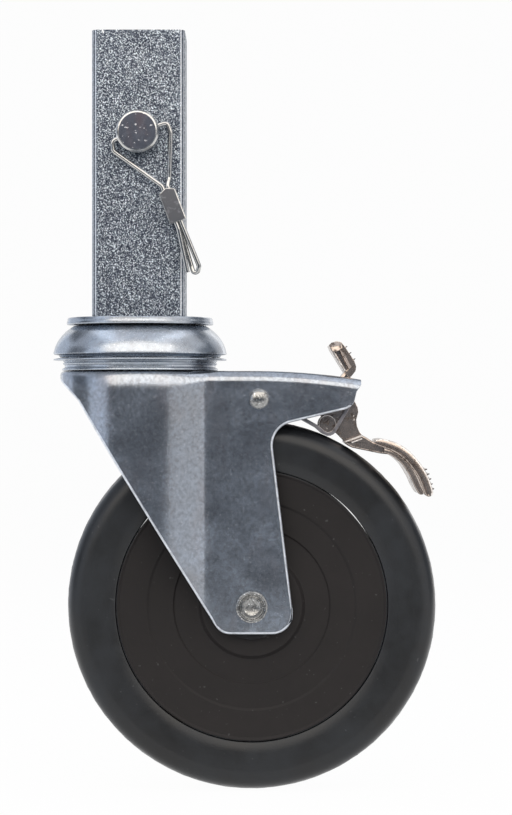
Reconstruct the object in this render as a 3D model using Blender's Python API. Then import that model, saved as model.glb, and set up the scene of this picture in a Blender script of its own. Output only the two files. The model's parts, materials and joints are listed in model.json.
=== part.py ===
# Scaffold castor: square tube stem with a locking pin, ball swivel head, pressed fork,
# solid wheel and a foot brake.
# Metres, +Z up. The origin is the swivel axis at the top face of the collar.
# The wheel trails along +X and its axle lies along Y.

import math

import bmesh
import bpy
from mathutils import Matrix, Vector

MM = 0.001

# Clearance between pieces that seat on, or pass through, each other
FIT = 0.3 * MM

# Stem: square steel tube
STEM_SIDE = 31.75 * MM
STEM_WALL = 2.5 * MM
STEM_CORNER = 2.6 * MM
STEM_TOP = 98.0 * MM
STEM_PLUG_HEIGHT = 12.0 * MM

# Locking pin through the stem, with the wire that pulls it
PIN_HEIGHT = 62.7 * MM
PIN_RADIUS = 4.76 * MM
PIN_TIP_REACH = 6.0 * MM
PIN_HEAD_RADIUS = 7.0 * MM
PIN_HEAD_THICK = 3.6 * MM
WIRE_RADIUS = 0.8 * MM
WIRE_STANDOFF = 3.4 * MM
WIRE_EYE_TILT = math.radians(18.4)
SLEEVE_WIDTH = 5.3 * MM
SLEEVE_DEPTH = 5.0 * MM
SLEEVE_LENGTH = 12.0 * MM

# Swivel head
COLLAR_RADIUS = 25.4 * MM
COLLAR_THICK = 2.4 * MM
KINGPIN_RADIUS = 6.0 * MM
KINGPIN_TAIL = 2.44 * MM
HEX_ACROSS_CORNERS = 21.9 * MM
KINGPIN_HEAD_HEIGHT = 7.5 * MM
NUT_HEIGHT = 8.2 * MM
CAP_RADIUS = 30.0 * MM
CAP_SLOPE_RUN = 7.6 * MM
CAP_HEIGHT = 11.0 * MM
CAP_WALL = 1.8 * MM
CAP_LIP = 3.0 * MM
CAP_LIP_RISE = 0.7 * MM
SEAL_THICK = 0.5 * MM
SEAL_CURL = 0.2 * MM
RACE_INSET = 3.0 * MM
CROWN_LEDGE = 0.6 * MM
HEAD_GAP = 4.8 * MM
UPPER_BALL_RADIUS = 3.97 * MM
UPPER_BALL_SPACING = 8.6 * MM
BALL_SKIRT_GAP = 3.23 * MM
LOWER_BALL_RADIUS = 2.38 * MM
LOWER_BALL_PITCH = 10.0 * MM
LOWER_BALL_SPACING = 5.2 * MM
CUP_SHOULDER = 1.22 * MM
CUP_FLOOR = 2.2 * MM
CUP_RIM = 1.4 * MM

# Wheel and axle
OFFSET = 38.75 * MM
WHEEL_RADIUS = 63.5 * MM
WHEEL_HALF = 15.875 * MM
WHEEL_HEADROOM = 14.3 * MM
WHEEL_SIDE_GAP = 1.125 * MM
TYRE_DEPTH = 17.1 * MM
CORE_RIM_RECESS = 1.575 * MM
CORE_WEB_RECESS = 3.275 * MM
HUB_RADIUS = 18.3 * MM
BUSH_WALL = 2.2 * MM
SLEEVE_WALL = 1.6 * MM
AXLE_RADIUS = 4.6 * MM
AXLE_HEAD_RADIUS = 5.4 * MM
AXLE_HEAD_THICK = 1.8 * MM
HUB_WASHER_RADIUS = 11.5 * MM
HUB_WASHER_THICK = 1.8 * MM

# Fork: one pressed sheet, crown, two legs and a horn over the brake
SHEET = 2.5 * MM
BEND_RADIUS = 3.8 * MM
HEAD_BEND = 2.7 * MM
HEAD_BEND_TURN = math.radians(75)
FACET_ANGLE = math.radians(23.5)
HORN_REACH = 10.95 * MM
HORN_TAPER_RUN = 21.3 * MM
HORN_TAPER = 2.5 * MM
HORN_DROP = 3.0 * MM
HORN_DEPTH = 10.1 * MM
SKIRT_DEPTH = 3.4 * MM
SKIRT_INSET = 0.4 * MM
SHOULDER_RUN = 7.1 * MM
SHOULDER_DEPTH = 10.0 * MM
LEG_BELOW_AXLE = 9.4 * MM
LEG_AHEAD_OF_AXLE = 10.7 * MM
LEG_BEHIND_AXLE = 14.9 * MM
LEG_WAIST_BEHIND_AXLE = 6.4 * MM
LEG_WAIST_DEPTH = 16.7 * MM
SLOT_AHEAD = 4.0 * MM
SLOT_BEHIND = 7.5 * MM
SLOT_CLEARANCE = 1.75 * MM

# Brake: a strip hung on the anchor rivet, pressed on the tread by a cam lever
BRAKE_ANGLE = math.radians(24.5)
RIVET_BEHIND_AXLE = 2.5 * MM
RIVET_DEPTH = 7.06 * MM
RIVET_RADIUS = 2.5 * MM
RIVET_HEAD_RADIUS = 3.55 * MM
RIVET_HEAD_THICK = 2.2 * MM
SHOE_THICK = 1.2 * MM
SHOE_FINGER = 2.0 * MM
FINGER_GAP = 0.4 * MM
EYE_WALL = 1.3 * MM
PIVOT_BEHIND_SHOE = 0.4 * MM
PIVOT_OVER_SHOE = 12.09 * MM
PIVOT_RADIUS = 2.4 * MM
BRACKET_GAP = 2.4 * MM
BRACKET_WALL = 2.0 * MM
BRACKET_FRONT = 8.4 * MM
BRACKET_REAR = 5.0 * MM
CHEEK_HALF = 9.0 * MM
CHEEK_WALL = 2.0 * MM
CAM_PROUD = 0.6 * MM
LEVER_SHEET = 1.8 * MM
TOE_PAD_HALF = 16.0 * MM
TOE_PAD_ARC = 19.4 * MM
TOE_PAD_BEAD = 3.3 * MM
HEEL_PAD_HALF = 11.0 * MM
TOOTH_HEIGHT = 1.0 * MM
TOOTH_WIDTH = 0.8 * MM

# Drawing units of the lever's and the wire's bends, which are given as multiples of them
LEVER_UNIT = 1.0 * MM
WIRE_UNIT = 1.0 * MM

# Facets round a full circle
WHEEL_SEGMENTS = 48
HEAD_SEGMENTS = 32
SMALL_SEGMENTS = 16

# Derived sizes of the swivel head, from the collar down
STEM_INNER = STEM_SIDE / 2 - STEM_WALL
CAP_TOP = -COLLAR_THICK - FIT
CAP_BOTTOM = CAP_TOP - CAP_HEIGHT
CAP_FLAT_RADIUS = CAP_RADIUS - CAP_SLOPE_RUN
RACE_RADIUS = CAP_RADIUS - RACE_INSET
HEAD_RADIUS = RACE_RADIUS + CROWN_LEDGE
FORK_TOP = CAP_BOTTOM - HEAD_GAP
UPPER_BALL_Z = CAP_TOP - CAP_WALL - FIT - UPPER_BALL_RADIUS
UPPER_BALL_PITCH = CAP_RADIUS - CAP_WALL - UPPER_BALL_RADIUS - BALL_SKIRT_GAP
UPPER_BALL_COUNT = int(2 * math.pi * UPPER_BALL_PITCH / UPPER_BALL_SPACING)
RACE_BOTTOM = FORK_TOP + FIT
RACE_BAND_TOP = CAP_BOTTOM - FIT - SEAL_THICK - SEAL_CURL
RACE_GROOVE = UPPER_BALL_RADIUS + FIT
CROWN_UNDERSIDE = FORK_TOP - SHEET
LOWER_BALL_Z = CROWN_UNDERSIDE - FIT - LOWER_BALL_RADIUS
LOWER_BALL_COUNT = int(2 * math.pi * LOWER_BALL_PITCH / LOWER_BALL_SPACING)
CUP_RADIUS = LOWER_BALL_PITCH + LOWER_BALL_RADIUS + CUP_SHOULDER + CUP_RIM
CUP_GROOVE = LOWER_BALL_RADIUS + FIT
CUP_TOP = LOWER_BALL_Z - LOWER_BALL_RADIUS - FIT
CUP_BOTTOM = CUP_TOP - CUP_FLOOR
NUT_TOP = CUP_BOTTOM - FIT
KINGPIN_END = NUT_TOP - NUT_HEIGHT - KINGPIN_TAIL
KINGPIN_BORE = KINGPIN_RADIUS + FIT
PIN_HEAD_BACK = STEM_SIDE / 2 + WIRE_STANDOFF + WIRE_RADIUS + 2 * FIT

# Derived sizes of the wheel and of the fork round it
AXLE_HEIGHT = CROWN_UNDERSIDE - WHEEL_HEADROOM - WHEEL_RADIUS
WHEEL_CENTRE = Vector((OFFSET, 0.0, AXLE_HEIGHT))
LEG_INNER = WHEEL_HALF + WHEEL_SIDE_GAP
LEG_HALF = LEG_INNER + SHEET
CORE_RADIUS = WHEEL_RADIUS - TYRE_DEPTH
CORE_RIM_HALF = WHEEL_HALF - CORE_RIM_RECESS
CORE_WEB_HALF = WHEEL_HALF - CORE_WEB_RECESS
HUB_HALF = LEG_INNER - HUB_WASHER_THICK - 2 * FIT

# Derived places of the brake and of the horn over it
RIVET_X = OFFSET + RIVET_BEHIND_AXLE
RIVET_Z = CROWN_UNDERSIDE - RIVET_DEPTH
SHOE_TOUCH_X = OFFSET + (WHEEL_RADIUS + FIT) * math.sin(BRAKE_ANGLE)
SHOE_TOUCH_Z = AXLE_HEIGHT + (WHEEL_RADIUS + FIT) * math.cos(BRAKE_ANGLE)
PIVOT_X = SHOE_TOUCH_X + PIVOT_BEHIND_SHOE
PIVOT_Z = SHOE_TOUCH_Z + PIVOT_OVER_SHOE
BRACKET_HALF = LEG_INNER - BRACKET_GAP
SHOE_HALF = CHEEK_HALF + CAM_PROUD + FINGER_GAP + SHOE_FINGER
SLOT_HALF = CHEEK_HALF + SLOT_CLEARANCE
SLOT_FRONT = PIVOT_X - SLOT_AHEAD
SLOT_REAR = PIVOT_X + SLOT_BEHIND
HORN_TIP = PIVOT_X + HORN_REACH
HORN_START = HORN_TIP - HORN_TAPER_RUN


def clear_scene():
    for item in list(bpy.data.objects):
        bpy.data.objects.remove(item, do_unlink=True)


def finish_material(name, colour, metallic, roughness):
    """A plain Principled material."""
    made = bpy.data.materials.new(name)
    made.use_nodes = True
    shader = made.node_tree.nodes["Principled BSDF"]
    shader.inputs["Base Color"].default_value = (*colour, 1.0)
    shader.inputs["Metallic"].default_value = metallic
    shader.inputs["Roughness"].default_value = roughness
    return made


def add_piece(name, shape, finish, location=(0.0, 0.0, 0.0)):
    """Turn a bmesh into a named object, with its origin at the given place."""
    bmesh.ops.remove_doubles(shape, verts=shape.verts, dist=0.001 * MM)
    bmesh.ops.recalc_face_normals(shape, faces=shape.faces)
    shape.transform(Matrix.Translation(-Vector(location)))
    mesh = bpy.data.meshes.new(name)
    shape.to_mesh(mesh)
    shape.free()
    mesh.materials.append(finish)
    mesh.shade_smooth()
    mesh.set_sharp_from_angle(angle=math.radians(35))
    piece = bpy.data.objects.new(name, mesh)
    piece.location = location
    bpy.context.scene.collection.objects.link(piece)
    return piece


def add_tool(name, shape, finish):
    """A cutter or an added form, used only by a Boolean."""
    tool = add_piece(name, shape, finish)
    tool.hide_render = True
    tool.display_type = "WIRE"
    return tool


def combine(piece, tool, operation):
    modifier = piece.modifiers.new(tool.name, "BOOLEAN")
    modifier.operation = operation
    modifier.object = tool
    modifier.solver = "EXACT"


def arc(centre, radius, start, end, steps):
    """Points on an arc, both ends included, angles in radians."""
    points = []
    for index in range(steps + 1):
        angle = start + (end - start) * index / steps
        points.append((centre[0] + radius * math.cos(angle), centre[1] + radius * math.sin(angle)))
    return points


def rounded(corners, step_angle=math.radians(18)):
    """A closed outline of (x, y, radius) corners, each with its fillet."""
    points = []
    count = len(corners)
    for index, (x, y, radius) in enumerate(corners):
        here = Vector((x, y))
        if radius <= 0.0:
            points.append((x, y))
            continue
        before = Vector(corners[index - 1][:2])
        after = Vector(corners[(index + 1) % count][:2])
        points.extend(fillet(before, here, after, radius, step_angle))
    return points


def fillet(before, here, after, radius, step_angle):
    """Arc points that replace the corner at here."""
    first = (before - here).normalized()
    second = (after - here).normalized()
    half = first.angle(second) / 2
    reach = radius / math.tan(half)
    middle = here + (first + second).normalized() * radius / math.sin(half)
    start = (here + first * reach - middle).normalized()
    end = (here + second * reach - middle).normalized()
    steps = max(2, math.ceil((math.pi - 2 * half) / step_angle))
    return [tuple(middle + start.slerp(end, index / steps) * radius) for index in range(steps + 1)]


def path_normals(path):
    """Unit normals on the left of an open path, one for each point, mitred at the bends."""
    normals = []
    for index in range(len(path)):
        before = Vector(path[max(index - 1, 0)])
        here = Vector(path[index])
        after = Vector(path[min(index + 1, len(path) - 1)])
        incoming = (here - before).normalized() if index else (after - here).normalized()
        outgoing = (after - here).normalized() if index < len(path) - 1 else incoming
        first = Vector((-incoming.y, incoming.x))
        second = Vector((-outgoing.y, outgoing.x))
        mitre = (first + second).normalized()
        normals.append(mitre / max(mitre.dot(first), 0.5))
    return normals


def offset_path(path, distance):
    """The path moved to its left by distance."""
    return [tuple(Vector(point) + normal * distance) for point, normal in zip(path, path_normals(path))]


def sheet_outline(path, thickness):
    """The closed edge of a sheet that has the path as its right-hand face."""
    return list(path) + offset_path(path, thickness)[::-1]


def prism(outline, low, high, plane):
    """A bmesh prism of a closed outline: plane XZ runs along Y, plane XY runs along Z."""
    shape = bmesh.new()
    if plane == "XZ":
        corners = [shape.verts.new((x, low, z)) for x, z in outline]
        along = Vector((0.0, high - low, 0.0))
    else:
        corners = [shape.verts.new((x, y, low)) for x, y in outline]
        along = Vector((0.0, 0.0, high - low))
    face = shape.faces.new(corners)
    extruded = bmesh.ops.extrude_face_region(shape, geom=[face])
    moved = [item for item in extruded["geom"] if isinstance(item, bmesh.types.BMVert)]
    bmesh.ops.translate(shape, verts=moved, vec=along)
    bmesh.ops.recalc_face_normals(shape, faces=shape.faces)
    return shape


def turned(profile, segments, axis="Z", closed=True):
    """A bmesh turned from (radius, height) points; an open profile ends on the axis."""
    shape = bmesh.new()
    corners = [shape.verts.new((radius, 0.0, height)) for radius, height in profile]
    edges = [shape.edges.new(pair) for pair in zip(corners, corners[1:])]
    if closed:
        edges.append(shape.edges.new((corners[-1], corners[0])))
    bmesh.ops.spin(
        shape, geom=corners + edges, cent=(0.0, 0.0, 0.0), axis=(0.0, 0.0, 1.0),
        dvec=(0.0, 0.0, 0.0), angle=2 * math.pi, steps=segments, use_merge=True)
    bmesh.ops.remove_doubles(shape, verts=shape.verts, dist=0.001 * MM)
    bmesh.ops.dissolve_degenerate(shape, edges=shape.edges, dist=0.001 * MM)
    bmesh.ops.recalc_face_normals(shape, faces=shape.faces)
    if axis == "Y":
        shape.transform(Matrix.Rotation(math.radians(-90), 4, "X"))
    return shape


def moved(shape, x=0.0, y=0.0, z=0.0):
    shape.transform(Matrix.Translation((x, y, z)))
    return shape


def merged(*shapes):
    """Several separate bmeshes as one, for a tool that acts in many places."""
    whole = bmesh.new()
    for shape in shapes:
        mesh = bpy.data.meshes.new("merged")
        shape.to_mesh(mesh)
        whole.from_mesh(mesh)
        shape.free()
        bpy.data.meshes.remove(mesh)
    return whole


def rod(radius, low, high, segments=SMALL_SEGMENTS, axis="Z"):
    """A plain round bar from low to high."""
    return turned([(0.0, low), (radius, low), (radius, high), (0.0, high)], segments, axis, closed=False)


def tube(inner, outer, low, high, segments, axis="Z"):
    return turned([(inner, low), (outer, low), (outer, high), (inner, high)], segments, axis)


def square_outline(half, corner):
    signs = ((-1, -1), (1, -1), (1, 1), (-1, 1))
    return rounded([(sx * half, sy * half, corner) for sx, sy in signs], math.radians(30))


def hexagon(low, high):
    """A hexagon bar with the wrench size of the kingpin."""
    corners = arc((0.0, 0.0), HEX_ACROSS_CORNERS / 2, 0.0, math.radians(300), 5)
    return prism(corners, low, high, "XY")


# Stem, with its plug, bolt and pin

def build_stem(zinc):
    stem = add_piece("stem_tube", prism(square_outline(STEM_SIDE / 2, STEM_CORNER), FIT, STEM_TOP, "XY"), zinc)
    bore = prism(square_outline(STEM_INNER, STEM_CORNER / 2), -STEM_WALL, STEM_TOP + STEM_WALL, "XY")
    combine(stem, add_tool("stem_bore_cutter", bore, zinc), "DIFFERENCE")
    hole = rod(PIN_RADIUS + FIT, -STEM_SIDE, STEM_SIDE, axis="Y")
    combine(stem, add_tool("pin_hole_cutter", moved(hole, z=PIN_HEIGHT), zinc), "DIFFERENCE")


def build_stem_plug(steel):
    block = prism(square_outline(STEM_INNER - FIT, STEM_CORNER / 3), FIT, FIT + STEM_PLUG_HEIGHT, "XY")
    plug = add_piece("stem_foot_plug", block, steel)
    bore = rod(KINGPIN_BORE, -STEM_PLUG_HEIGHT, 2 * STEM_PLUG_HEIGHT)
    combine(plug, add_tool("plug_bore_cutter", bore, steel), "DIFFERENCE")


def build_kingpin(steel):
    seat = 2 * FIT + STEM_PLUG_HEIGHT
    kingpin = add_piece("kingpin", hexagon(seat, seat + KINGPIN_HEAD_HEIGHT), steel)
    chamfer = 1.0 * MM
    shank = turned(
        [(0.0, KINGPIN_END), (KINGPIN_RADIUS - chamfer, KINGPIN_END),
         (KINGPIN_RADIUS, KINGPIN_END + chamfer), (KINGPIN_RADIUS, seat + chamfer),
         (0.0, seat + chamfer)], SMALL_SEGMENTS, closed=False)
    combine(kingpin, add_tool("kingpin_shank_form", shank, steel), "UNION")


def build_nut(steel):
    nut = add_piece("kingpin_nut", hexagon(NUT_TOP - NUT_HEIGHT, NUT_TOP), steel)
    bore = rod(KINGPIN_BORE, NUT_TOP - 2 * NUT_HEIGHT, NUT_TOP + NUT_HEIGHT)
    combine(nut, add_tool("nut_bore_cutter", bore, steel), "DIFFERENCE")


def build_collar(steel):
    edge = 0.4 * MM
    profile = [
        (KINGPIN_BORE, -COLLAR_THICK), (COLLAR_RADIUS - edge, -COLLAR_THICK),
        (COLLAR_RADIUS, -COLLAR_THICK + edge), (COLLAR_RADIUS, -edge),
        (COLLAR_RADIUS - edge, 0.0), (KINGPIN_BORE, 0.0)]
    add_piece("collar_washer", turned(profile, HEAD_SEGMENTS), steel)


# Swivel head

def cap_outer_path():
    """Outer face of the pressed cap, from its bore out and down to the turned lip."""
    start = Vector((CAP_FLAT_RADIUS + 0.8 * MM, CAP_TOP - 0.25 * MM))
    knee = Vector((CAP_RADIUS - 0.9 * MM, CAP_TOP - 0.36 * CAP_HEIGHT))
    skirt = Vector((CAP_RADIUS, CAP_BOTTOM + 2 * CAP_LIP_RISE))
    points = [(KINGPIN_BORE, CAP_TOP), (CAP_FLAT_RADIUS, CAP_TOP)]
    steps = 4
    for index in range(steps + 1):
        t = index / steps
        point = start * (1 - t) ** 2 + knee * 2 * t * (1 - t) + skirt * t ** 2
        points.append(tuple(point))
    points.append((CAP_RADIUS - 0.1 * MM, CAP_BOTTOM + 1.5 * CAP_LIP_RISE))
    points.append((CAP_RADIUS - 0.6 * MM, CAP_BOTTOM + CAP_LIP_RISE))
    points.append((CAP_RADIUS - CAP_LIP, CAP_BOTTOM))
    return points


def build_cap(zinc):
    outer = cap_outer_path()
    inner = offset_path(outer[:-3], -CAP_WALL)
    inner.append((CAP_RADIUS - CAP_WALL, CAP_BOTTOM + CAP_LIP_RISE / 2 + CAP_WALL / 2))
    inner.append((CAP_RADIUS - CAP_LIP, CAP_BOTTOM + CAP_WALL / 2))
    add_piece("raceway_cap", turned(outer + inner[::-1], HEAD_SEGMENTS), zinc)


def build_seal(zinc):
    """Thin dust disc below the cap, its rim turned down and curled."""
    top = CAP_BOTTOM - FIT
    inner = CAP_RADIUS - 4.5 * MM
    profile = [
        (inner, top), (CAP_RADIUS - 1.2 * MM, top), (CAP_RADIUS - 0.4 * MM, top - SEAL_CURL),
        (CAP_RADIUS, top - SEAL_CURL / 2), (CAP_RADIUS - 0.1 * MM, top - SEAL_THICK - SEAL_CURL),
        (CAP_RADIUS - 1.2 * MM, top - SEAL_THICK), (inner, top - SEAL_THICK)]
    add_piece("dust_seal", turned(profile, HEAD_SEGMENTS), zinc)


def groove_points(pitch, height, radius, depth_angle, steps=4):
    """Ball groove below a ball centre, from its inner to its outer edge."""
    return arc((pitch, height), radius, math.radians(-90) - depth_angle, math.radians(-90) + depth_angle, steps)


def build_race_ring(steel):
    """Lower half of the head bearing: a grooved track over a stepped band."""
    neck = CAP_RADIUS - 4.8 * MM
    bore = UPPER_BALL_PITCH - 4.6 * MM
    step = 0.4 * MM
    track = groove_points(UPPER_BALL_PITCH, UPPER_BALL_Z, RACE_GROOVE, math.radians(38))
    track_height = track[0][1]
    band = RACE_BAND_TOP
    middle = (band + RACE_BOTTOM) / 2
    profile = [(bore, RACE_BOTTOM), (bore, track_height)] + track + [
        (neck, track_height), (neck, band), (RACE_RADIUS - 1.5 * step, band),
        (RACE_RADIUS - step, band - step), (RACE_RADIUS - step, middle + step),
        (RACE_RADIUS - 2 * step, middle), (RACE_RADIUS, middle - step),
        (RACE_RADIUS, RACE_BOTTOM)]
    add_piece("race_ring", turned(profile, HEAD_SEGMENTS), steel)


def build_lower_cup(steel):
    track = groove_points(LOWER_BALL_PITCH, LOWER_BALL_Z, CUP_GROOVE, math.radians(40))
    track_height = track[0][1]
    rim_top = CROWN_UNDERSIDE - 1.0 * MM
    profile = [(KINGPIN_BORE, CUP_BOTTOM), (KINGPIN_BORE, track_height)] + track + [
        (CUP_RADIUS - CUP_RIM, track_height), (CUP_RADIUS - CUP_RIM, rim_top),
        (CUP_RADIUS, rim_top), (CUP_RADIUS, CUP_BOTTOM + 1.0 * MM),
        (CUP_RADIUS - 1.0 * MM, CUP_BOTTOM)]
    add_piece("lower_race_cup", turned(profile, 20), steel)


def build_ball_ring(name, count, pitch, radius, height, facets, steel):
    """Balls of one race, each its own piece, parented to an empty on the swivel axis."""
    centre = bpy.data.objects.new(name + "_axis", None)
    bpy.context.scene.collection.objects.link(centre)
    shape = bmesh.new()
    bmesh.ops.create_uvsphere(shape, u_segments=facets, v_segments=facets // 2 + 1, radius=radius)
    first = add_piece(f"{name}_01", shape, steel)
    for index in range(count):
        angle = 2 * math.pi * index / count
        ball = first if index == 0 else bpy.data.objects.new(f"{name}_{index + 1:02d}", first.data)
        if index:
            bpy.context.scene.collection.objects.link(ball)
        ball.location = (pitch * math.cos(angle), pitch * math.sin(angle), height)
        ball.parent = centre


# Fork

def head_bend(angle):
    """Bend radius round the head: tight at its front, full where the sides begin."""
    share = min(1.0, (math.pi - angle) / HEAD_BEND_TURN)
    return HEAD_BEND + (BEND_RADIUS - HEAD_BEND) * share


def plan_outline(turn):
    """Half of the fork's plan edge, from its front to the horn tip, at a turn of the bend."""
    inset = 1 - math.sin(turn)
    head_steps = 9
    points = []
    for index in range(head_steps + 1):
        angle = math.pi - (math.pi / 2 + FACET_ANGLE) * index / head_steps
        radius = HEAD_RADIUS - head_bend(angle) * inset
        points.append((radius * math.cos(angle), radius * math.sin(angle)))
    leg = LEG_HALF - BEND_RADIUS * inset
    tangent = points[-1]
    fold_x = tangent[0] + (tangent[1] - leg) / math.tan(FACET_ANGLE)
    points.append((fold_x, leg))
    for share in (0.35, 0.7, 1.0):
        points.append((fold_x + (HORN_START - fold_x) * share, leg))
    end = HORN_TIP + BEND_RADIUS
    taper = HORN_TAPER / HORN_TAPER_RUN
    for share in (0.34, 0.67, 1.0):
        x = HORN_START + (end - HORN_START) * share
        points.append((x, leg - (x - HORN_START) * taper))
    return points


def crown_height(x):
    """Top of the fork: level over the head, then falling along the horn."""
    drop_start = OFFSET + FIT
    run = max(0.0, x - drop_start) / (HORN_TIP - drop_start)
    return FORK_TOP - HORN_DROP * run ** 2


def fork_skin():
    """Outer skin of the pressing: crown, rolled edge and walls, open below and at the horn."""
    skin = bmesh.new()
    rows = []
    bend_steps = 4
    leg_end = AXLE_HEIGHT - LEG_BELOW_AXLE - BEND_RADIUS
    for index in range(bend_steps + 2):
        turn = math.radians(90) * min(index, bend_steps) / bend_steps
        half = plan_outline(turn)
        whole = [(x, -y) for x, y in half[::-1]] + half[1:]
        row = []
        for x, y in whole:
            bend = head_bend(math.atan2(abs(y), x))
            height = crown_height(x) - bend * (1 - math.cos(turn)) if index <= bend_steps else leg_end
            row.append(skin.verts.new((x, y, height)))
        rows.append(row)
    for upper, lower in zip(rows, rows[1:]):
        for index in range(len(upper) - 1):
            skin.faces.new((upper[index], upper[index + 1], lower[index + 1], lower[index]))
    top = rows[0]
    last = len(top) - 1
    middle = last // 2
    for index in range(middle - 1):
        skin.faces.new((top[index], top[last - index], top[last - index - 1], top[index + 1]))
    skin.faces.new((top[middle - 1], top[middle + 1], top[middle]))
    return skin


def side_outline():
    """Side view of the fork: what the pressing keeps."""
    above = FORK_TOP + BEND_RADIUS
    front = -HEAD_RADIUS - BEND_RADIUS
    skirt_edge = FORK_TOP - SKIRT_DEPTH
    leg_bottom = AXLE_HEIGHT - LEG_BELOW_AXLE
    horn_edge = CROWN_UNDERSIDE - HORN_DEPTH
    tip_slant = 0.36
    tip_low = HORN_TIP - 3.35 * MM
    tip_high = tip_low + (above - horn_edge) * tip_slant
    return rounded([
        (front, above, 0.0),
        (front, skirt_edge, 0.0),
        (SKIRT_INSET - HEAD_RADIUS, skirt_edge, 0.8 * MM),
        (SHOULDER_RUN - HEAD_RADIUS, FORK_TOP - SHOULDER_DEPTH, 4.0 * MM),
        (OFFSET - LEG_AHEAD_OF_AXLE, leg_bottom, 6.0 * MM),
        (OFFSET + LEG_BEHIND_AXLE, leg_bottom, 7.0 * MM),
        (OFFSET + LEG_WAIST_BEHIND_AXLE, CROWN_UNDERSIDE - LEG_WAIST_DEPTH, 8.0 * MM),
        (tip_low, horn_edge, 5.0 * MM),
        (tip_high, above, 0.0)], math.radians(15))


def build_fork(zinc):
    fork = add_piece("fork", fork_skin(), zinc)
    solidify = fork.modifiers.new("sheet", "SOLIDIFY")
    solidify.thickness = SHEET
    solidify.offset = -1.0
    solidify.use_even_offset = True
    span = 2 * HEAD_RADIUS
    keep = prism(side_outline(), -span, span, "XZ")
    combine(fork, add_tool("side_trim_form", keep, zinc), "INTERSECT")
    slot_corner = 1.5 * MM
    slot = rounded([
        (SLOT_FRONT, -SLOT_HALF, slot_corner), (SLOT_REAR, -SLOT_HALF, slot_corner),
        (SLOT_REAR, SLOT_HALF, slot_corner), (SLOT_FRONT, SLOT_HALF, slot_corner)], math.radians(45))
    slot_shape = prism(slot, FORK_TOP - 3 * BEND_RADIUS, FORK_TOP + BEND_RADIUS, "XY")
    bore = rod(KINGPIN_RADIUS + 1.5 * MM, FORK_TOP - 3 * BEND_RADIUS, FORK_TOP + BEND_RADIUS, 24)
    axle = moved(rod(AXLE_RADIUS + FIT, -span, span, axis="Y"), x=OFFSET, z=AXLE_HEIGHT)
    rivet = moved(rod(RIVET_RADIUS + FIT, -span, span, 16, axis="Y"), x=RIVET_X, z=RIVET_Z)
    holes = merged(slot_shape, bore, axle, rivet)
    combine(fork, add_tool("fork_hole_cutters", holes, zinc), "DIFFERENCE")


# Wheel

def mirrored_profile(half):
    """A turned profile closed by its mirror image about the wheel's mid-plane."""
    return half + [(radius, -height) for radius, height in half[::-1]]


def build_tyre(rubber):
    shoulder = 6.5 * MM
    bond = CORE_RADIUS + FIT
    crown = WHEEL_RADIUS - 0.5 * MM
    edge = arc((crown - shoulder, WHEEL_HALF - shoulder), shoulder, math.radians(86), math.radians(10), 4)
    half = [(bond, CORE_RIM_HALF + 0.3 * MM)] + edge
    half.append((WHEEL_RADIUS, WHEEL_HALF * 0.3))
    shape = turned(mirrored_profile(half), WHEEL_SEGMENTS, "Y")
    shape.transform(Matrix.Translation(WHEEL_CENTRE))
    add_piece("tyre", shape, rubber, WHEEL_CENTRE)


def build_core(rubber):
    """Moulded centre: hub, dished web with a raised ring, and the rim the tyre is bonded to."""
    bush_outer = AXLE_RADIUS + SLEEVE_WALL + BUSH_WALL + 2 * FIT
    slope = 1.0 * MM
    web = CORE_RADIUS - HUB_RADIUS
    ring = HUB_RADIUS + 0.31 * web
    land = HUB_RADIUS + 0.616 * web
    half = [
        (bush_outer + FIT, HUB_HALF), (HUB_RADIUS - slope, HUB_HALF), (HUB_RADIUS, CORE_WEB_HALF),
        (ring, CORE_WEB_HALF + 0.5 * slope),
        (land, CORE_WEB_HALF + 0.5 * slope), (land + slope, CORE_RIM_HALF - 0.6 * slope),
        (CORE_RADIUS - 0.8 * slope, CORE_RIM_HALF - 0.6 * slope), (CORE_RADIUS, CORE_RIM_HALF)]
    shape = turned(mirrored_profile(half), WHEEL_SEGMENTS, "Y")
    shape.transform(Matrix.Translation(WHEEL_CENTRE))
    add_piece("wheel_core", shape, rubber, WHEEL_CENTRE)


def build_axle_parts(steel, bronze):
    """Riveted axle, the sleeve clamped between the legs, the hub bush and two washers."""
    at = dict(x=OFFSET, z=AXLE_HEIGHT)
    face = LEG_HALF + FIT
    end = face + AXLE_HEAD_THICK
    groove = 0.45 * MM
    half = [
        (AXLE_RADIUS, face), (AXLE_HEAD_RADIUS, face), (AXLE_HEAD_RADIUS, end - groove),
        (AXLE_HEAD_RADIUS - groove, end), (4.3 * MM, end), (3.9 * MM, end - groove),
        (3.35 * MM, end), (1.6 * MM, end), (0.0, end - 0.9 * MM)]
    profile = half[::-1] + [(radius, -height) for radius, height in half]
    shape = turned(profile, SMALL_SEGMENTS, "Y", closed=False)
    add_piece("axle", moved(shape, **at), steel, WHEEL_CENTRE)
    sleeve_inner = AXLE_RADIUS + FIT
    sleeve_outer = sleeve_inner + SLEEVE_WALL
    reach = LEG_INNER - FIT
    sleeve = tube(sleeve_inner, sleeve_outer, -reach, reach, SMALL_SEGMENTS, "Y")
    add_piece("axle_sleeve", moved(sleeve, **at), steel, WHEEL_CENTRE)
    bush = tube(sleeve_outer + FIT, sleeve_outer + BUSH_WALL, -HUB_HALF, HUB_HALF, SMALL_SEGMENTS, "Y")
    add_piece("hub_bush", moved(bush, **at), bronze, WHEEL_CENTRE)
    low = HUB_HALF + FIT
    for name, sign in (("near", -1), ("far", 1)):
        ends = sorted((sign * low, sign * reach))
        washer = tube(sleeve_outer + FIT, HUB_WASHER_RADIUS, *ends, SMALL_SEGMENTS, "Y")
        add_piece("hub_washer_" + name, moved(washer, **at), steel, WHEEL_CENTRE)


# Brake

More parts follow.
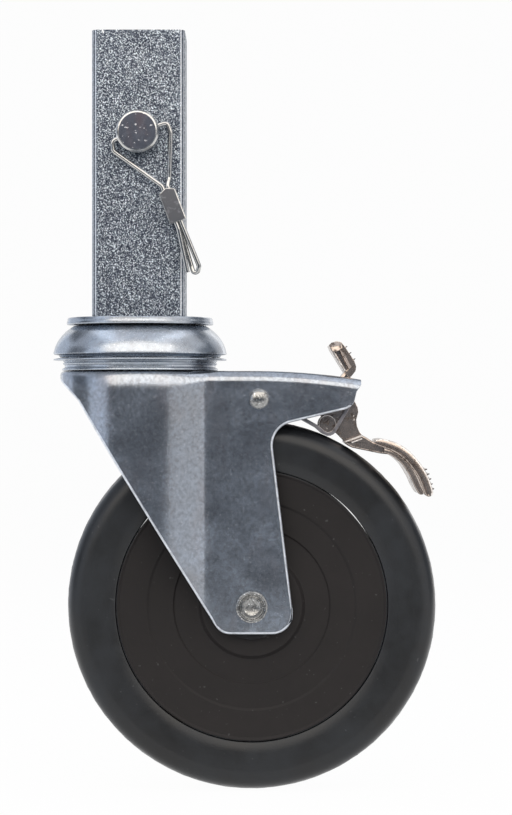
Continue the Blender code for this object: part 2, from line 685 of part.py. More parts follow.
def build_rivet(steel):
    face = LEG_HALF + FIT
    half = [(RIVET_RADIUS, face), (RIVET_HEAD_RADIUS, face)]
    for turn in (25, 50, 75):
        angle = math.radians(turn)
        half.append((RIVET_HEAD_RADIUS * math.cos(angle), face + RIVET_HEAD_THICK * math.sin(angle)))
    half.append((0.0, face + RIVET_HEAD_THICK))
    profile = half[::-1] + [(radius, -height) for radius, height in half]
    shape = turned(profile, 16, "Y", closed=False)
    add_piece("anchor_rivet", moved(shape, x=RIVET_X, z=RIVET_Z), steel)


def shoe_path():
    """Lower face of the strip, from under the eye to the turn that presses on the tread."""
    vertex = (SHOE_TOUCH_X, SHOE_TOUCH_Z)
    eye_bottom = RIVET_Z - RIVET_RADIUS - FIT - EYE_WALL
    return [
        (RIVET_X + 0.5 * MM, eye_bottom),
        (vertex[0] - 15.0 * MM, vertex[1] + 8.55 * MM),
        (vertex[0] - 8.6 * MM, vertex[1] + 5.0 * MM),
        (vertex[0] - 4.5 * MM, vertex[1] + 2.75 * MM),
        (vertex[0] - 2.2 * MM, vertex[1] + 0.75 * MM),
        (vertex[0] - 0.7 * MM, vertex[1] + 0.05 * MM),
        (vertex[0] + 0.5 * MM, vertex[1] + 0.05 * MM),
        (vertex[0] + 1.6 * MM, vertex[1] + 0.6 * MM),
        (vertex[0] + 2.4 * MM, vertex[1] + 1.4 * MM)]


def build_shoe(spring_steel):
    path = shoe_path()
    blade = prism(sheet_outline(path, SHOE_THICK), -SHOE_HALF, SHOE_HALF, "XZ")
    shoe = add_piece("brake_shoe", blade, spring_steel, (RIVET_X, 0.0, RIVET_Z))
    eye_inner = RIVET_RADIUS + FIT
    eye = tube(eye_inner, eye_inner + EYE_WALL, -SHOE_HALF, SHOE_HALF, 16, "Y")
    combine(shoe, add_tool("shoe_eye_form", moved(eye, x=RIVET_X, z=RIVET_Z), spring_steel), "UNION")
    window = SHOE_HALF - SHOE_FINGER
    end_x, end_z = path[-3][0] + FIT, path[-2][1]
    cut = 8.0 * MM
    gap = prism([
        (end_x, end_z - cut), (end_x + cut, end_z - cut), (end_x + cut, end_z + cut),
        (end_x, end_z + cut)], -window, window, "XZ")
    combine(shoe, add_tool("shoe_window_cutter", gap, spring_steel), "DIFFERENCE")
    base = path[-3:]
    finger_path = base + [(base[-1][0] + 5.6 * MM, base[-1][1] + 9.6 * MM)]
    outline = sheet_outline(finger_path, SHOE_THICK)
    fingers = merged(
        prism(outline, -SHOE_HALF, -window, "XZ"),
        prism(outline, window, SHOE_HALF, "XZ"))
    combine(shoe, add_tool("shoe_finger_form", fingers, spring_steel), "UNION")


def build_bracket(zinc):
    """Saddle under the horn that holds the lever's pivot pin."""
    front = PIVOT_X - BRACKET_FRONT
    rear = PIVOT_X + BRACKET_REAR
    hang = PIVOT_RADIUS + 1.8 * MM

    def under_crown(x, drop=0.0):
        return (x, crown_height(x) - SHEET - 2 * FIT - drop)

    side = [under_crown(front), (front, under_crown(front)[1] - 4.5 * MM)]
    side += arc((PIVOT_X, PIVOT_Z), hang, math.radians(215), math.radians(350), 5)
    side += [(rear, under_crown(rear)[1] - 3.5 * MM), under_crown(rear)]
    bracket = add_piece("brake_bracket", prism(side, -BRACKET_HALF, BRACKET_HALF, "XZ"), zinc)
    inside = BRACKET_HALF - BRACKET_WALL
    below = PIVOT_Z - 3 * hang
    beyond = rear + BRACKET_WALL
    hollow = [
        under_crown(front - BRACKET_WALL, BRACKET_WALL), (front - BRACKET_WALL, below),
        (beyond, below), under_crown(beyond, BRACKET_WALL)]
    channel = prism(hollow, -inside, inside, "XZ")
    combine(bracket, add_tool("bracket_channel_cutter", channel, zinc), "DIFFERENCE")
    slot_front = SLOT_FRONT - FIT
    slot = prism([
        (slot_front, -SLOT_HALF), (beyond, -SLOT_HALF), (beyond, SLOT_HALF), (slot_front, SLOT_HALF)],
        below, FORK_TOP, "XY")
    pin = moved(rod(PIVOT_RADIUS + FIT, -LEG_HALF, LEG_HALF, 16, axis="Y"), x=PIVOT_X, z=PIVOT_Z)
    combine(bracket, add_tool("bracket_slot_cutter", slot, zinc), "DIFFERENCE")
    combine(bracket, add_tool("bracket_pin_cutter", pin, zinc), "DIFFERENCE")


def build_pivot_pin(steel):
    reach = BRACKET_HALF - FIT
    shape = moved(rod(PIVOT_RADIUS, -reach, reach, 16, axis="Y"), x=PIVOT_X, z=PIVOT_Z)
    add_piece("lever_pivot_pin", shape, steel)


def lever_point(x, z):
    """A place on the lever, measured from its pivot in the lever's drawing unit."""
    return (PIVOT_X + x * LEVER_UNIT, PIVOT_Z + z * LEVER_UNIT)


def cheek_outline():
    """Side wall of the lever, from the heel pad through the slot down to the toe pad."""
    corners = [
        (2.3, 7.75, 0.3), (4.6, 9.6, 0.6), (0.3, 17.2, 0.5), (0.4, 18.6, 0.8), (2.6, 19.6, 1.0),
        (4.6, 18.8, 1.0), (8.2, 13.7, 1.2), (8.3, 11.3, 1.2), (6.6, 8.2, 0.8), (6.4, 4.0, 1.0),
        (8.2, -0.8, 1.5), (9.3, -3.3, 1.4), (8.7, -6.0, 1.0), (9.0, -8.8, 1.0), (11.0, -12.4, 0.5),
        (9.0, -14.4, 0.5), (4.4, -12.7, 0.6), (2.7, -11.1, 0.8), (-1.6, -7.8, 1.5), (-3.6, -3.5, 1.5),
        (-4.2, 0.0, 2.5), (-3.0, 4.2, 1.5)]
    placed = [(*lever_point(x, z), radius * LEVER_UNIT) for x, z, radius in corners]
    return rounded(placed[::-1], math.radians(40))


def cam_outline():
    """Tongue that presses the strip: an oval lobe below the pivot eye."""
    lobe_x, lobe_z = lever_point(-0.9, -7.6)
    lobe = []
    for turn in range(160, 400, 20):
        angle = math.radians(turn)
        across = 2.85 * LEVER_UNIT * math.cos(angle)
        lobe.append((lobe_x + across, lobe_z + 2.5 * LEVER_UNIT * math.sin(angle)))
    eye = arc((PIVOT_X, PIVOT_Z), 4.3 * LEVER_UNIT, math.radians(10), math.radians(170), 8)
    return lobe + eye


def heel_pad_outline():
    """The heel pad's sheet, folded over like a hairpin, open at the neck below."""
    outer = [
        (4.6, 9.8, 0.0), (-1.1, 18.6, 0.4), (-0.8, 19.5, 0.3), (1.0, 20.4, 0.6), (2.6, 20.5, 0.6),
        (4.6, 19.8, 1.0), (8.6, 14.2, 1.5), (9.1, 12.0, 1.0), (8.6, 10.0, 1.0), (6.9, 8.4, 0.0)]
    inner = [
        (6.2, 9.7, 0.0), (7.1, 10.8, 0.5), (7.3, 12.2, 0.5), (6.9, 13.5, 0.8), (3.6, 18.2, 0.6),
        (2.2, 18.8, 0.4), (0.75, 17.95, 0.4), (5.6, 10.45, 0.0)]
    placed = [(*lever_point(x, z), radius * LEVER_UNIT) for x, z, radius in outer + inner]
    return rounded(placed[::-1], math.radians(50))


def web_path():
    """Outer face of the back web between the two pads."""
    corners = [
        (6.9, 9.6), (6.7, 7.0), (6.5, 3.9), (8.4, -0.8), (9.5, -3.3), (8.9, -6.0), (9.2, -8.8),
        (10.7, -12.3)]
    return [lever_point(x, z) for x, z in corners]


def toe_pad_centre():
    top = lever_point(15.4, -12.95)
    return (top[0], top[1] - TOE_PAD_ARC)


def toe_pad_layer(outer, thickness, start_angle, end_angle, root):
    """Side view of one rolled layer of the toe pad."""
    centre = toe_pad_centre()
    start = math.radians(start_angle)
    inner = outer - thickness
    end = math.radians(end_angle)
    points = arc(centre, outer, start, end, 9)
    middle = (outer + inner) / 2
    tip = (centre[0] + middle * math.cos(end), centre[1] + middle * math.sin(end))
    points += arc(tip, thickness / 2, end, end - math.pi, 4)[1:-1]
    points += arc(centre, inner, end, start, 9)
    return points + [lever_point(*root[1]), lever_point(*root[0])]


def rounded_bar(outline, half, edge):
    """A prism across the lever whose long side edges are rolled."""
    shape = prism(outline, -half, half, "XZ")
    rim = [item for item in shape.edges if abs(item.verts[0].co.y - item.verts[1].co.y) < 1e-7]
    bmesh.ops.bevel(shape, geom=rim, offset=edge, segments=2, profile=0.5, affect="EDGES")
    return shape


def build_teeth():
    """Gripping ridges across the faces of both pads."""
    ridges = []
    centre = toe_pad_centre()
    for index in range(5):
        angle = math.radians(27.0 - 5.3 * index)
        ridges.append(ridge_at(centre, TOE_PAD_ARC, angle, TOE_PAD_HALF - 3 * MM))
    first = Vector(lever_point(4.6, 19.8))
    last = Vector(lever_point(8.6, 14.2))
    across = (last - first).normalized()
    outward = math.atan2(across.x, -across.y)
    for index in range(3):
        place = first.lerp(last, 0.12 + 0.36 * index)
        ridges.append(ridge_at(tuple(place), 0.0, outward, HEEL_PAD_HALF - 2 * MM))
    return merged(*ridges)


def ridge_at(centre, radius, angle, half):
    """One ridge standing on a face, radius from centre in the given direction."""
    outward = Vector((math.cos(angle), math.sin(angle)))
    along = Vector((-outward.y, outward.x)) * TOOTH_WIDTH / 2
    foot = Vector(centre) + outward * (radius - 0.5 * TOOTH_HEIGHT)
    crest = Vector(centre) + outward * (radius + TOOTH_HEIGHT)
    outline = [tuple(foot + along), tuple(crest + along * 0.5), tuple(crest - along * 0.5), tuple(foot - along)]
    return prism(outline, -half, half, "XZ")


def build_lever(nickel):
    """Cam lever pressed from one sheet: heel pad above the horn, toe pad over the wheel."""
    inside = CHEEK_HALF - CHEEK_WALL
    outline = cheek_outline()
    near = prism(outline, -CHEEK_HALF, -inside, "XZ")
    lever = add_piece("brake_lever", near, nickel, (PIVOT_X, 0.0, PIVOT_Z))
    web = prism(sheet_outline(web_path(), -LEVER_SHEET), -inside - 0.5 * MM, inside + 0.5 * MM, "XZ")
    heel = prism(heel_pad_outline(), -HEEL_PAD_HALF, HEEL_PAD_HALF, "XZ")
    upper = toe_pad_layer(TOE_PAD_ARC, TOE_PAD_BEAD, 96.0, 4.0, ((8.2, -13.3), (8.2, -15.0)))
    lower_arc = TOE_PAD_ARC - TOE_PAD_BEAD + 0.3 * MM
    lower = toe_pad_layer(lower_arc, 0.84 * TOE_PAD_BEAD, 68.0, 7.0, ((6.2, -14.4), (8.0, -15.7)))
    cam_half = CHEEK_HALF + CAM_PROUD
    cam_inside = inside - 0.3 * MM
    cam = cam_outline()
    forms = [
        ("far_cheek_form", prism(outline, inside, CHEEK_HALF, "XZ")),
        ("web_form", web),
        ("heel_pad_form", heel),
        ("toe_pad_upper_form", rounded_bar(upper, TOE_PAD_HALF, 1.2 * MM)),
        ("toe_pad_lower_form", rounded_bar(lower, TOE_PAD_HALF - 0.6 * MM, 1.2 * MM)),
        ("cam_form", merged(prism(cam, -cam_half, -cam_inside, "XZ"), prism(cam, cam_inside, cam_half, "XZ")))]
    for name, shape in forms:
        combine(lever, add_tool(name, shape, nickel), "UNION")
    centre = toe_pad_centre()
    hollow_top = TOE_PAD_ARC - LEVER_SHEET
    hollow = arc(centre, hollow_top, math.radians(80), math.radians(-12), 9)
    hollow += arc(centre, hollow_top - 2.4 * TOE_PAD_BEAD, math.radians(-12), math.radians(80), 6)
    trough = prism(hollow, -TOE_PAD_HALF + 3 * MM, TOE_PAD_HALF - 3 * MM, "XZ")
    combine(lever, add_tool("toe_pad_trough_cutter", trough, nickel), "DIFFERENCE")
    combine(lever, add_tool("tooth_form", build_teeth(), nickel), "UNION")
    pin = moved(rod(PIVOT_RADIUS + FIT, -LEG_HALF, LEG_HALF, 16, axis="Y"), x=PIVOT_X, z=PIVOT_Z)
    combine(lever, add_tool("lever_pin_cutter", pin, nickel), "DIFFERENCE")


# Locking pin and its wire

def build_lock_pin(steel):
    """Round pin with a domed head; the wire runs through its neck."""
    tip = STEM_SIDE / 2 + PIN_TIP_REACH
    chamfer = 1.5 * MM
    back = -PIN_HEAD_BACK
    front = back - PIN_HEAD_THICK
    profile = [
        (0.0, tip), (PIN_RADIUS - chamfer, tip), (PIN_RADIUS, tip - chamfer), (PIN_RADIUS, back),
        (PIN_HEAD_RADIUS - 0.4 * MM, back), (PIN_HEAD_RADIUS, back - 0.4 * MM),
        (PIN_HEAD_RADIUS, front + 1.3 * MM), (PIN_HEAD_RADIUS - 1.1 * MM, front + 0.35 * MM),
        (PIN_HEAD_RADIUS - 3.0 * MM, front + 0.05 * MM), (0.0, front)]
    shape = turned([(radius, -height) for radius, height in profile], 24, "Y", closed=False)
    shape.transform(Matrix.Rotation(math.pi, 4, "Z"))
    pin = add_piece("lock_pin", moved(shape, z=PIN_HEIGHT), steel, (0.0, 0.0, PIN_HEIGHT))
    eye = rod(WIRE_RADIUS + FIT, -2 * PIN_RADIUS, 2 * PIN_RADIUS, 12)
    eye.transform(Matrix.Rotation(math.radians(90) - WIRE_EYE_TILT, 4, "Y"))
    eye = moved(eye, y=-STEM_SIDE / 2 - WIRE_STANDOFF, z=PIN_HEIGHT)
    combine(pin, add_tool("wire_eye_cutter", eye, steel), "DIFFERENCE")


def sleeve_frame():
    """Centre, axis and side direction of the crimped sleeve."""
    top = Vector((9.55 * WIRE_UNIT, 0.0, PIN_HEIGHT - 19.3 * WIRE_UNIT))
    axis = Vector((4.25, 0.0, -11.2)).normalized()
    side = Vector((-axis.z, 0.0, axis.x))
    return top, axis, side


def wire_route():
    """Route of the bent wire, from its free tail round through the pin and back."""
    plane = -STEM_SIDE / 2 - WIRE_STANDOFF
    top, axis, side = sleeve_frame()
    bottom = top + axis * SLEEVE_LENGTH

    def in_sleeve(end, across, depth):
        point = end + side * across * WIRE_UNIT
        return Vector((point.x, plane + depth * WIRE_UNIT, point.z))

    def at(x, drop, depth=0.0):
        return Vector((x * WIRE_UNIT, plane + depth * WIRE_UNIT, PIN_HEIGHT - drop * WIRE_UNIT))

    eye = Vector((math.cos(WIRE_EYE_TILT), 0.0, math.sin(WIRE_EYE_TILT)))
    middle = Vector((0.0, plane, PIN_HEIGHT))
    beyond = axis * 2.5 * WIRE_UNIT
    return [
        at(16.9, 47.8, -0.3),
        in_sleeve(bottom + beyond, -0.9, -0.75),
        in_sleeve(top - beyond * 0.5, -0.9, -0.75),
        at(-8.3, 6.5),
        middle - eye * 9.3 * WIRE_UNIT,
        middle + eye * 10.6 * WIRE_UNIT,
        at(11.2, 0.2),
        at(10.7, 15.7),
        in_sleeve(top - beyond * 0.3, 0.9, -0.75),
        in_sleeve(bottom + beyond, 0.9, -0.75),
        at(20.9, 45.7, -0.3),
        at(20.3, 47.7, 0.2),
        at(18.9, 47.7, 0.5),
        at(18.3, 45.7, 0.75),
        in_sleeve(bottom + beyond, -0.1, 0.8),
        in_sleeve(top + axis * 2.0 * WIRE_UNIT, -0.1, 0.8)]


def bent_route(route, radius, steps):
    """The route with every corner bent round the given radius where it has room."""
    points = [route[0]]
    for before, here, after in zip(route, route[1:], route[2:]):
        first = (before - here).normalized()
        second = (after - here).normalized()
        half = first.angle(second) / 2
        room = 0.45 * min((before - here).length, (after - here).length)
        reach = min(radius / math.tan(half), room)
        for index in range(steps + 1):
            t = index / steps
            start = here + first * reach
            end = here + second * reach
            points.append(start * (1 - t) ** 2 + here * 2 * t * (1 - t) + end * t ** 2)
    points.append(route[-1])
    return points


def build_wire(wire_steel):
    points = bent_route(wire_route(), 2.0 * WIRE_UNIT, 2)
    curve = bpy.data.curves.new("pull_wire", "CURVE")
    curve.dimensions = "3D"
    spline = curve.splines.new("POLY")
    spline.points.add(len(points) - 1)
    pivot = Vector((0.0, -STEM_SIDE / 2 - WIRE_STANDOFF, PIN_HEIGHT))
    for target, point in zip(spline.points, points):
        target.co = (*(point - pivot), 1.0)
    curve.bevel_depth = WIRE_RADIUS
    curve.bevel_resolution = 2
    curve.use_fill_caps = True
    curve.materials.append(wire_steel)
    wire = bpy.data.objects.new("pull_wire", curve)
    wire.location = pivot
    bpy.context.scene.collection.objects.link(wire)


def build_wire_sleeve(dark_steel):
    """Crimped ferrule round the three strands."""
    top, axis, side = sleeve_frame()
    plane = -STEM_SIDE / 2 - WIRE_STANDOFF
    half = SLEEVE_WIDTH / 2
    depth = SLEEVE_DEPTH / 2

    def oval(scale_x, scale_y, low, high):
        corner = min(scale_x, scale_y) * 0.75
        outline = rounded([
            (-scale_x, -scale_y, corner), (scale_x, -scale_y, corner),
            (scale_x, scale_y, corner), (-scale_x, scale_y, corner)], math.radians(25))
        return prism(outline, low, high, "XY")

    place = Matrix.Translation((top.x, plane, top.z)) @ Matrix((
        (side.x, 0.0, axis.x, 0.0), (0.0, 1.0, 0.0, 0.0), (side.z, 0.0, axis.z, 0.0), (0.0, 0.0, 0.0, 1.0)))
    body = oval(half, depth, 0.0, SLEEVE_LENGTH)
    body.transform(place)
    sleeve = add_piece("wire_sleeve", body, dark_steel)
    wall = 0.5 * MM
    bore = oval(half - wall, depth - wall, -SLEEVE_LENGTH, 2 * SLEEVE_LENGTH)
    bore.transform(place)
    combine(sleeve, add_tool("sleeve_bore_cutter", bore, dark_steel), "DIFFERENCE")


def main():
    clear_scene()
    galvanised = finish_material("galvanised_steel", (0.50, 0.52, 0.55), 0.9, 0.5)
    zinc = finish_material("zinc_plate", (0.45, 0.49, 0.53), 0.9, 0.38)
    bright = finish_material("bright_steel", (0.62, 0.62, 0.62), 1.0, 0.3)
    nickel = finish_material("brown_nickel", (0.40, 0.35, 0.32), 1.0, 0.3)
    spring = finish_material("spring_steel", (0.36, 0.37, 0.39), 1.0, 0.4)
    pin_steel = finish_material("pin_steel", (0.20, 0.20, 0.21), 0.9, 0.35)
    wire_steel = finish_material("wire_steel", (0.55, 0.55, 0.55), 1.0, 0.3)
    rubber = finish_material("tyre_rubber", (0.035, 0.037, 0.04), 0.0, 0.65)
    core = finish_material("core_rubber", (0.030, 0.028, 0.027), 0.0, 0.6)
    bronze = finish_material("bronze_bush", (0.50, 0.36, 0.18), 1.0, 0.4)
    dark = finish_material("dark_crimp", (0.12, 0.12, 0.13), 0.8, 0.4)

    build_stem(galvanised)
    build_stem_plug(bright)
    build_kingpin(bright)
    build_nut(bright)
    build_collar(zinc)
    build_cap(zinc)
    build_seal(zinc)
    build_race_ring(bright)
    build_lower_cup(zinc)
    build_ball_ring("upper_ball", UPPER_BALL_COUNT, UPPER_BALL_PITCH, UPPER_BALL_RADIUS, UPPER_BALL_Z, 8, bright)
    build_ball_ring("lower_ball", LOWER_BALL_COUNT, LOWER_BALL_PITCH, LOWER_BALL_RADIUS, LOWER_BALL_Z, 6, bright)
    build_fork(zinc)
    build_tyre(rubber)
    build_core(core)
    build_axle_parts(bright, bronze)
    build_rivet(bright)
    build_shoe(spring)
    build_bracket(zinc)
    build_pivot_pin(bright)
    build_lever(nickel)
    build_lock_pin(pin_steel)
    build_wire(wire_steel)
    build_wire_sleeve(dark)


main()
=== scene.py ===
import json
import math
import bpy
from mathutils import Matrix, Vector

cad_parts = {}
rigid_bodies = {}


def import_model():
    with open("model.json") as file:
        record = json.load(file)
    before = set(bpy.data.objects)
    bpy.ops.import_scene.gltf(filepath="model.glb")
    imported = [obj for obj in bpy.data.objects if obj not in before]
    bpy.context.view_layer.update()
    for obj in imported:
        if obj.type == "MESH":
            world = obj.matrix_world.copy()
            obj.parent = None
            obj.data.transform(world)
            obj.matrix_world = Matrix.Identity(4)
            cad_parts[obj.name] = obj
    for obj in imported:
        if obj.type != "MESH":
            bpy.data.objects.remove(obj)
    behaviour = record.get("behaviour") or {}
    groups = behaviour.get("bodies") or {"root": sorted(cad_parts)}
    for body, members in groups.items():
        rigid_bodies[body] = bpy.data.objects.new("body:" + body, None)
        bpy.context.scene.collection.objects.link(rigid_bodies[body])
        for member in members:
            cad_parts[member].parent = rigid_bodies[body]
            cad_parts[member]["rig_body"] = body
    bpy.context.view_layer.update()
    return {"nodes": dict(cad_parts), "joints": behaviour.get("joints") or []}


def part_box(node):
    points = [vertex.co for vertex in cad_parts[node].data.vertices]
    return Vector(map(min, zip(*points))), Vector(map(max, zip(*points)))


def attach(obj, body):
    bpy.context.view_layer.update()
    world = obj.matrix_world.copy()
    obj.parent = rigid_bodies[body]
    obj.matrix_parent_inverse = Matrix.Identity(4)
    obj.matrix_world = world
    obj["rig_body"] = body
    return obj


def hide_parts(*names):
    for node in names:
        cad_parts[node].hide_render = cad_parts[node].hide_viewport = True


bl_info = {
    "name": "Scaffold Castor",
    "version": (1, 0, 0),
    "blender": (4, 5, 0),
    "location": "View3D > Sidebar > Castor",
    "description": "Dresses the packed model of a scaffold castor with finished pieces",
    "category": "Add Mesh",
}

import bmesh
import bpy
from bpy.props import FloatProperty, FloatVectorProperty, IntProperty, PointerProperty
from mathutils import Matrix, Vector, noise

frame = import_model()

MM = 0.001
NODES = frame["nodes"]

# Places that the frame gives
WHEEL_LOW, WHEEL_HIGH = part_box("tyre")
AXLE = (WHEEL_LOW + WHEEL_HIGH) / 2
COLLAR_LOW, COLLAR_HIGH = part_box("collar_washer")
CAP_LOW, CAP_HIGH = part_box("raceway_cap")
SEAL_LOW, SEAL_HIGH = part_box("dust_seal")
RACE_LOW, RACE_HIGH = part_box("race_ring")
RIVET_LOW, RIVET_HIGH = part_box("anchor_rivet")
RIVET = (RIVET_LOW + RIVET_HIGH) / 2
PIN_LOW, PIN_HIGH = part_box("lock_pin")
PIN_AT = (PIN_LOW + PIN_HIGH) / 2
STEM_LOW, STEM_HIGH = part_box("stem_tube")
AXLE_LOW, AXLE_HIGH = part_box("axle")
PIVOT_LOW, PIVOT_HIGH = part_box("lever_pivot_pin")
PIVOT = (PIVOT_LOW + PIVOT_HIGH) / 2
WIRE_JOINT = next(row for row in frame["joints"] if row["name"] == "wire_swing")
WIRE_EYE = Vector(WIRE_JOINT["pos_m"])
WIRE_AXIS = Vector(WIRE_JOINT["axis"])

# Camera that saw the photo: place in metres, focal length and sensor in millimetres
CAMERA_AT = (0.0402, -0.960, -0.0310)
CAMERA_LENS = 122.2
CAMERA_SENSOR = 36.0

# Layout of the node trees
NODE_STEP = 220.0
NODES_LEFT = 40


# Settings a user may change

def length_setting(name, description, value):
    return FloatProperty(name=name, description=description, default=value, unit="LENGTH")


def colour_setting(name, description, *value):
    return FloatVectorProperty(name=name, description=description, subtype="COLOR", default=value)


class CastorSizes(bpy.types.PropertyGroup):
    turned_steps: IntProperty(
        name="Turned steps", description="Facets round each turned piece", default=128, min=24)
    wheel_steps: IntProperty(
        name="Wheel steps", description="Facets round the tyre and the wheel's core", default=216, min=48)
    edge: length_setting("Broken edge", "Rounding on the edges of bars and sheets", 0.25 * MM)
    roll_over: length_setting(
        "Roll-over", "Rounding that the press leaves on the fork's outer edge", 0.8 * MM)
    wire_radius: length_setting("Wire radius", "Radius of the locking pin's pull wire", 0.8 * MM)
    flash: length_setting("Tread roughness", "Height of the worn flash on the tread's edges", 0.22 * MM)


class CastorColours(bpy.types.PropertyGroup):
    galvanised: colour_setting("Galvanised", "Stem tube", 0.185, 0.215, 0.265)
    zinc: colour_setting("Zinc plate", "Fork and swivel head", 0.45, 0.475, 0.515)
    bright: colour_setting("Bright steel", "Race ring, rivets and axle", 0.62, 0.62, 0.61)
    nickel: colour_setting("Brown nickel", "Brake lever", 0.47, 0.40, 0.355)
    spring: colour_setting("Spring steel", "Brake strip", 0.36, 0.345, 0.365)
    tyre: colour_setting("Tyre", "Tread rubber", 0.0115, 0.0116, 0.0122)
    core: colour_setting("Core", "Wheel centre", 0.0098, 0.0078, 0.0078)
    bronze: colour_setting("Bronze", "Hub bush", 0.45, 0.31, 0.15)


# Mesh helpers

def only(*pieces):
    """Select these pieces and nothing else."""
    bpy.ops.object.select_all(action="DESELECT")
    for piece in pieces:
        piece.select_set(True)
    bpy.context.view_layer.objects.active = pieces[0]


def edit(piece, mode="VERT"):
    only(piece)
    bpy.ops.object.mode_set(mode="EDIT")
    bpy.ops.mesh.select_mode(type=mode)
    bpy.ops.mesh.select_all(action="SELECT")


def leave():
    bpy.ops.object.mode_set(mode="OBJECT")


def place(piece):
    """Put the piece's turn, size and place into its mesh."""
    only(piece)
    bpy.ops.object.transform_apply(location=True, rotation=True, scale=True)


def apply_modifier(piece, kind, **settings):
    modifier = piece.modifiers.new(kind.title(), kind)
    for name, value in settings.items():
        setattr(modifier, name, value)
    only(piece)
    bpy.ops.object.modifier_apply(modifier=modifier.name)


def smooth(piece, angle=35.0, flats=True):
    """Smooth shading up to an angle; with flats, large faces stay flat beside rounded edges."""
    only(piece)
    bpy.ops.object.shade_smooth_by_angle(angle=math.radians(angle))
    if flats:
        apply_modifier(piece, "WEIGHTED_NORMAL", keep_sharp=True, weight=60)


def paint(piece, *finishes):
    """Fill the piece's material slots; its faces keep their slot numbers."""
    slots = piece.data.materials
    while len(slots) < len(finishes):
        slots.append(None)
    for index, name in enumerate(finishes):
        slots[index] = material(name)


def dress(piece, node, *finishes):
    """Give a piece its finishes, and let it stand for its CAD node on the node's body."""
    paint(piece, *finishes)
    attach(piece, NODES[node]["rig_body"])
    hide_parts(node)


def added(name, add, **settings):
    """A new primitive, alone in the selection."""
    bpy.ops.object.select_all(action="DESELECT")
    add(**settings)
    piece = bpy.context.object
    piece.name = name
    piece.data.name = name
    return piece


def copied(node, name):
    """A copy of a CAD node with its loose triangles merged and its flats made one face."""
    mesh = NODES[node].data.copy()
    mesh.materials.clear()
    mesh.name = name
    piece = bpy.data.objects.new(name, mesh)
    bpy.context.scene.collection.objects.link(piece)
    edit(piece)
    bpy.ops.mesh.customdata_custom_splitnormals_clear()
    bpy.ops.mesh.remove_doubles(threshold=0.002 * MM)
    bpy.ops.mesh.dissolve_limited(angle_limit=math.radians(0.5))
    leave()
    return piece


def round_edges(piece, offset, angle=40.0, segments=2, wanted=None, material=-1):
    """Bevel the edges sharper than an angle, or those of them that are wanted."""
    edit(piece, "EDGE")
    bpy.ops.mesh.select_all(action="DESELECT")
    shape = bmesh.from_edit_mesh(piece.data)
    shape.normal_update()
    limit = math.radians(angle)
    for line in shape.edges:
        sharp = len(line.link_faces) == 2 and line.calc_face_angle() > limit
        line.select = sharp and (wanted is None or wanted(line))
    bmesh.update_edit_mesh(piece.data)
    bpy.ops.mesh.bevel(
        offset=offset, segments=segments, profile=0.5, affect="EDGES", clamp_overlap=False,
        material=material)
    leave()


def refined(node, name, offset):
    """A copy of a CAD node with its edges broken."""
    piece = copied(node, name)
    round_edges(piece, offset)
    smooth(piece)
    return piece


def arc(centre, radius, start, end, steps):
    """Points on an arc, both ends included, angles in degrees."""
    points = []
    for index in range(steps + 1):
        turn = math.radians(start + (end - start) * index / steps)
        points.append((centre[0] + radius * math.cos(turn), centre[1] + radius * math.sin(turn)))
    return points


def softened(corners, step=12.0):
    """A closed outline from (x, y, radius) corners, each rounded by its radius."""
    points = []
    for index, (x, y, radius) in enumerate(corners):
        here = Vector((x, y))
        before = Vector(corners[index - 1][:2])
        after = Vector(corners[(index + 1) % len(corners)][:2])
        points.extend(corner_points(before, here, after, radius, step))
    return points


def corner_points(before, here, after, radius, step):
    if radius <= 0.0:
        return [tuple(here)]
    first = (before - here).normalized()
    second = (after - here).normalized()
    half = first.angle(second) / 2
    reach = min(radius / math.tan(half), (before - here).length * 0.49, (after - here).length * 0.49)
    radius = reach * math.tan(half)
    middle = here + (first + second).normalized() * radius / math.sin(half)
    start = (here + first * reach - middle).normalized()
    end = (here + second * reach - middle).normalized()
    steps = max(2, math.ceil((180.0 - math.degrees(2 * half)) / step))
    return [tuple(middle + start.slerp(end, index / steps) * radius) for index in range(steps + 1)]


def spun(name, outline, steps, centre=(0.0, 0.0, 0.0), axis="Z"):
    """Spin a closed outline of (radius, height) points round an axis through the centre."""
    piece = added(
        name, bpy.ops.mesh.primitive_circle_add, vertices=len(outline), radius=1.0, fill_type="NOTHING")
    for vertex, (radius, height) in zip(piece.data.vertices, outline):
        vertex.co = (radius, 0.0, height)
    edit(piece)
    bpy.ops.mesh.spin(
        steps=steps, angle=2 * math.pi, use_auto_merge=True, center=(0.0, 0.0, 0.0), axis=(0.0, 0.0, 1.0))
    bpy.ops.mesh.select_all(action="SELECT")
    bpy.ops.mesh.remove_doubles(threshold=0.001 * MM)
    bpy.ops.mesh.dissolve_degenerate(threshold=0.0005 * MM)
    bpy.ops.mesh.select_all(action="SELECT")
    bpy.ops.mesh.delete_loose(use_verts=True, use_edges=True, use_faces=False)
    bpy.ops.mesh.select_all(action="SELECT")
    bpy.ops.mesh.normals_make_consistent(inside=False)
    leave()
    turn = Matrix.Rotation(math.radians(-90), 4, "X") if axis == "Y" else Matrix.Identity(4)
    piece.data.transform(Matrix.Translation(centre) @ turn)
    return piece


def plate(name, outline, low, high, plane="XZ"):
    """A closed outline filled and drawn out from low to high across its plane."""
    piece = added(
        name, bpy.ops.mesh.primitive_circle_add, vertices=len(outline), radius=1.0, fill_type="NOTHING")
    for vertex, (across, up) in zip(piece.data.vertices, outline):
        vertex.co = (across, low, up) if plane == "XZ" else (across, up, low)
    edit(piece)
    bpy.ops.mesh.edge_face_add()
    depth = high - low
    away = (0.0, depth, 0.0) if plane == "XZ" else (0.0, 0.0, depth)
    bpy.ops.mesh.extrude_region_move(TRANSFORM_OT_translate={"value": away})
    bpy.ops.mesh.select_all(action="SELECT")
    bpy.ops.mesh.normals_make_consistent(inside=False)
    leave()
    return piece


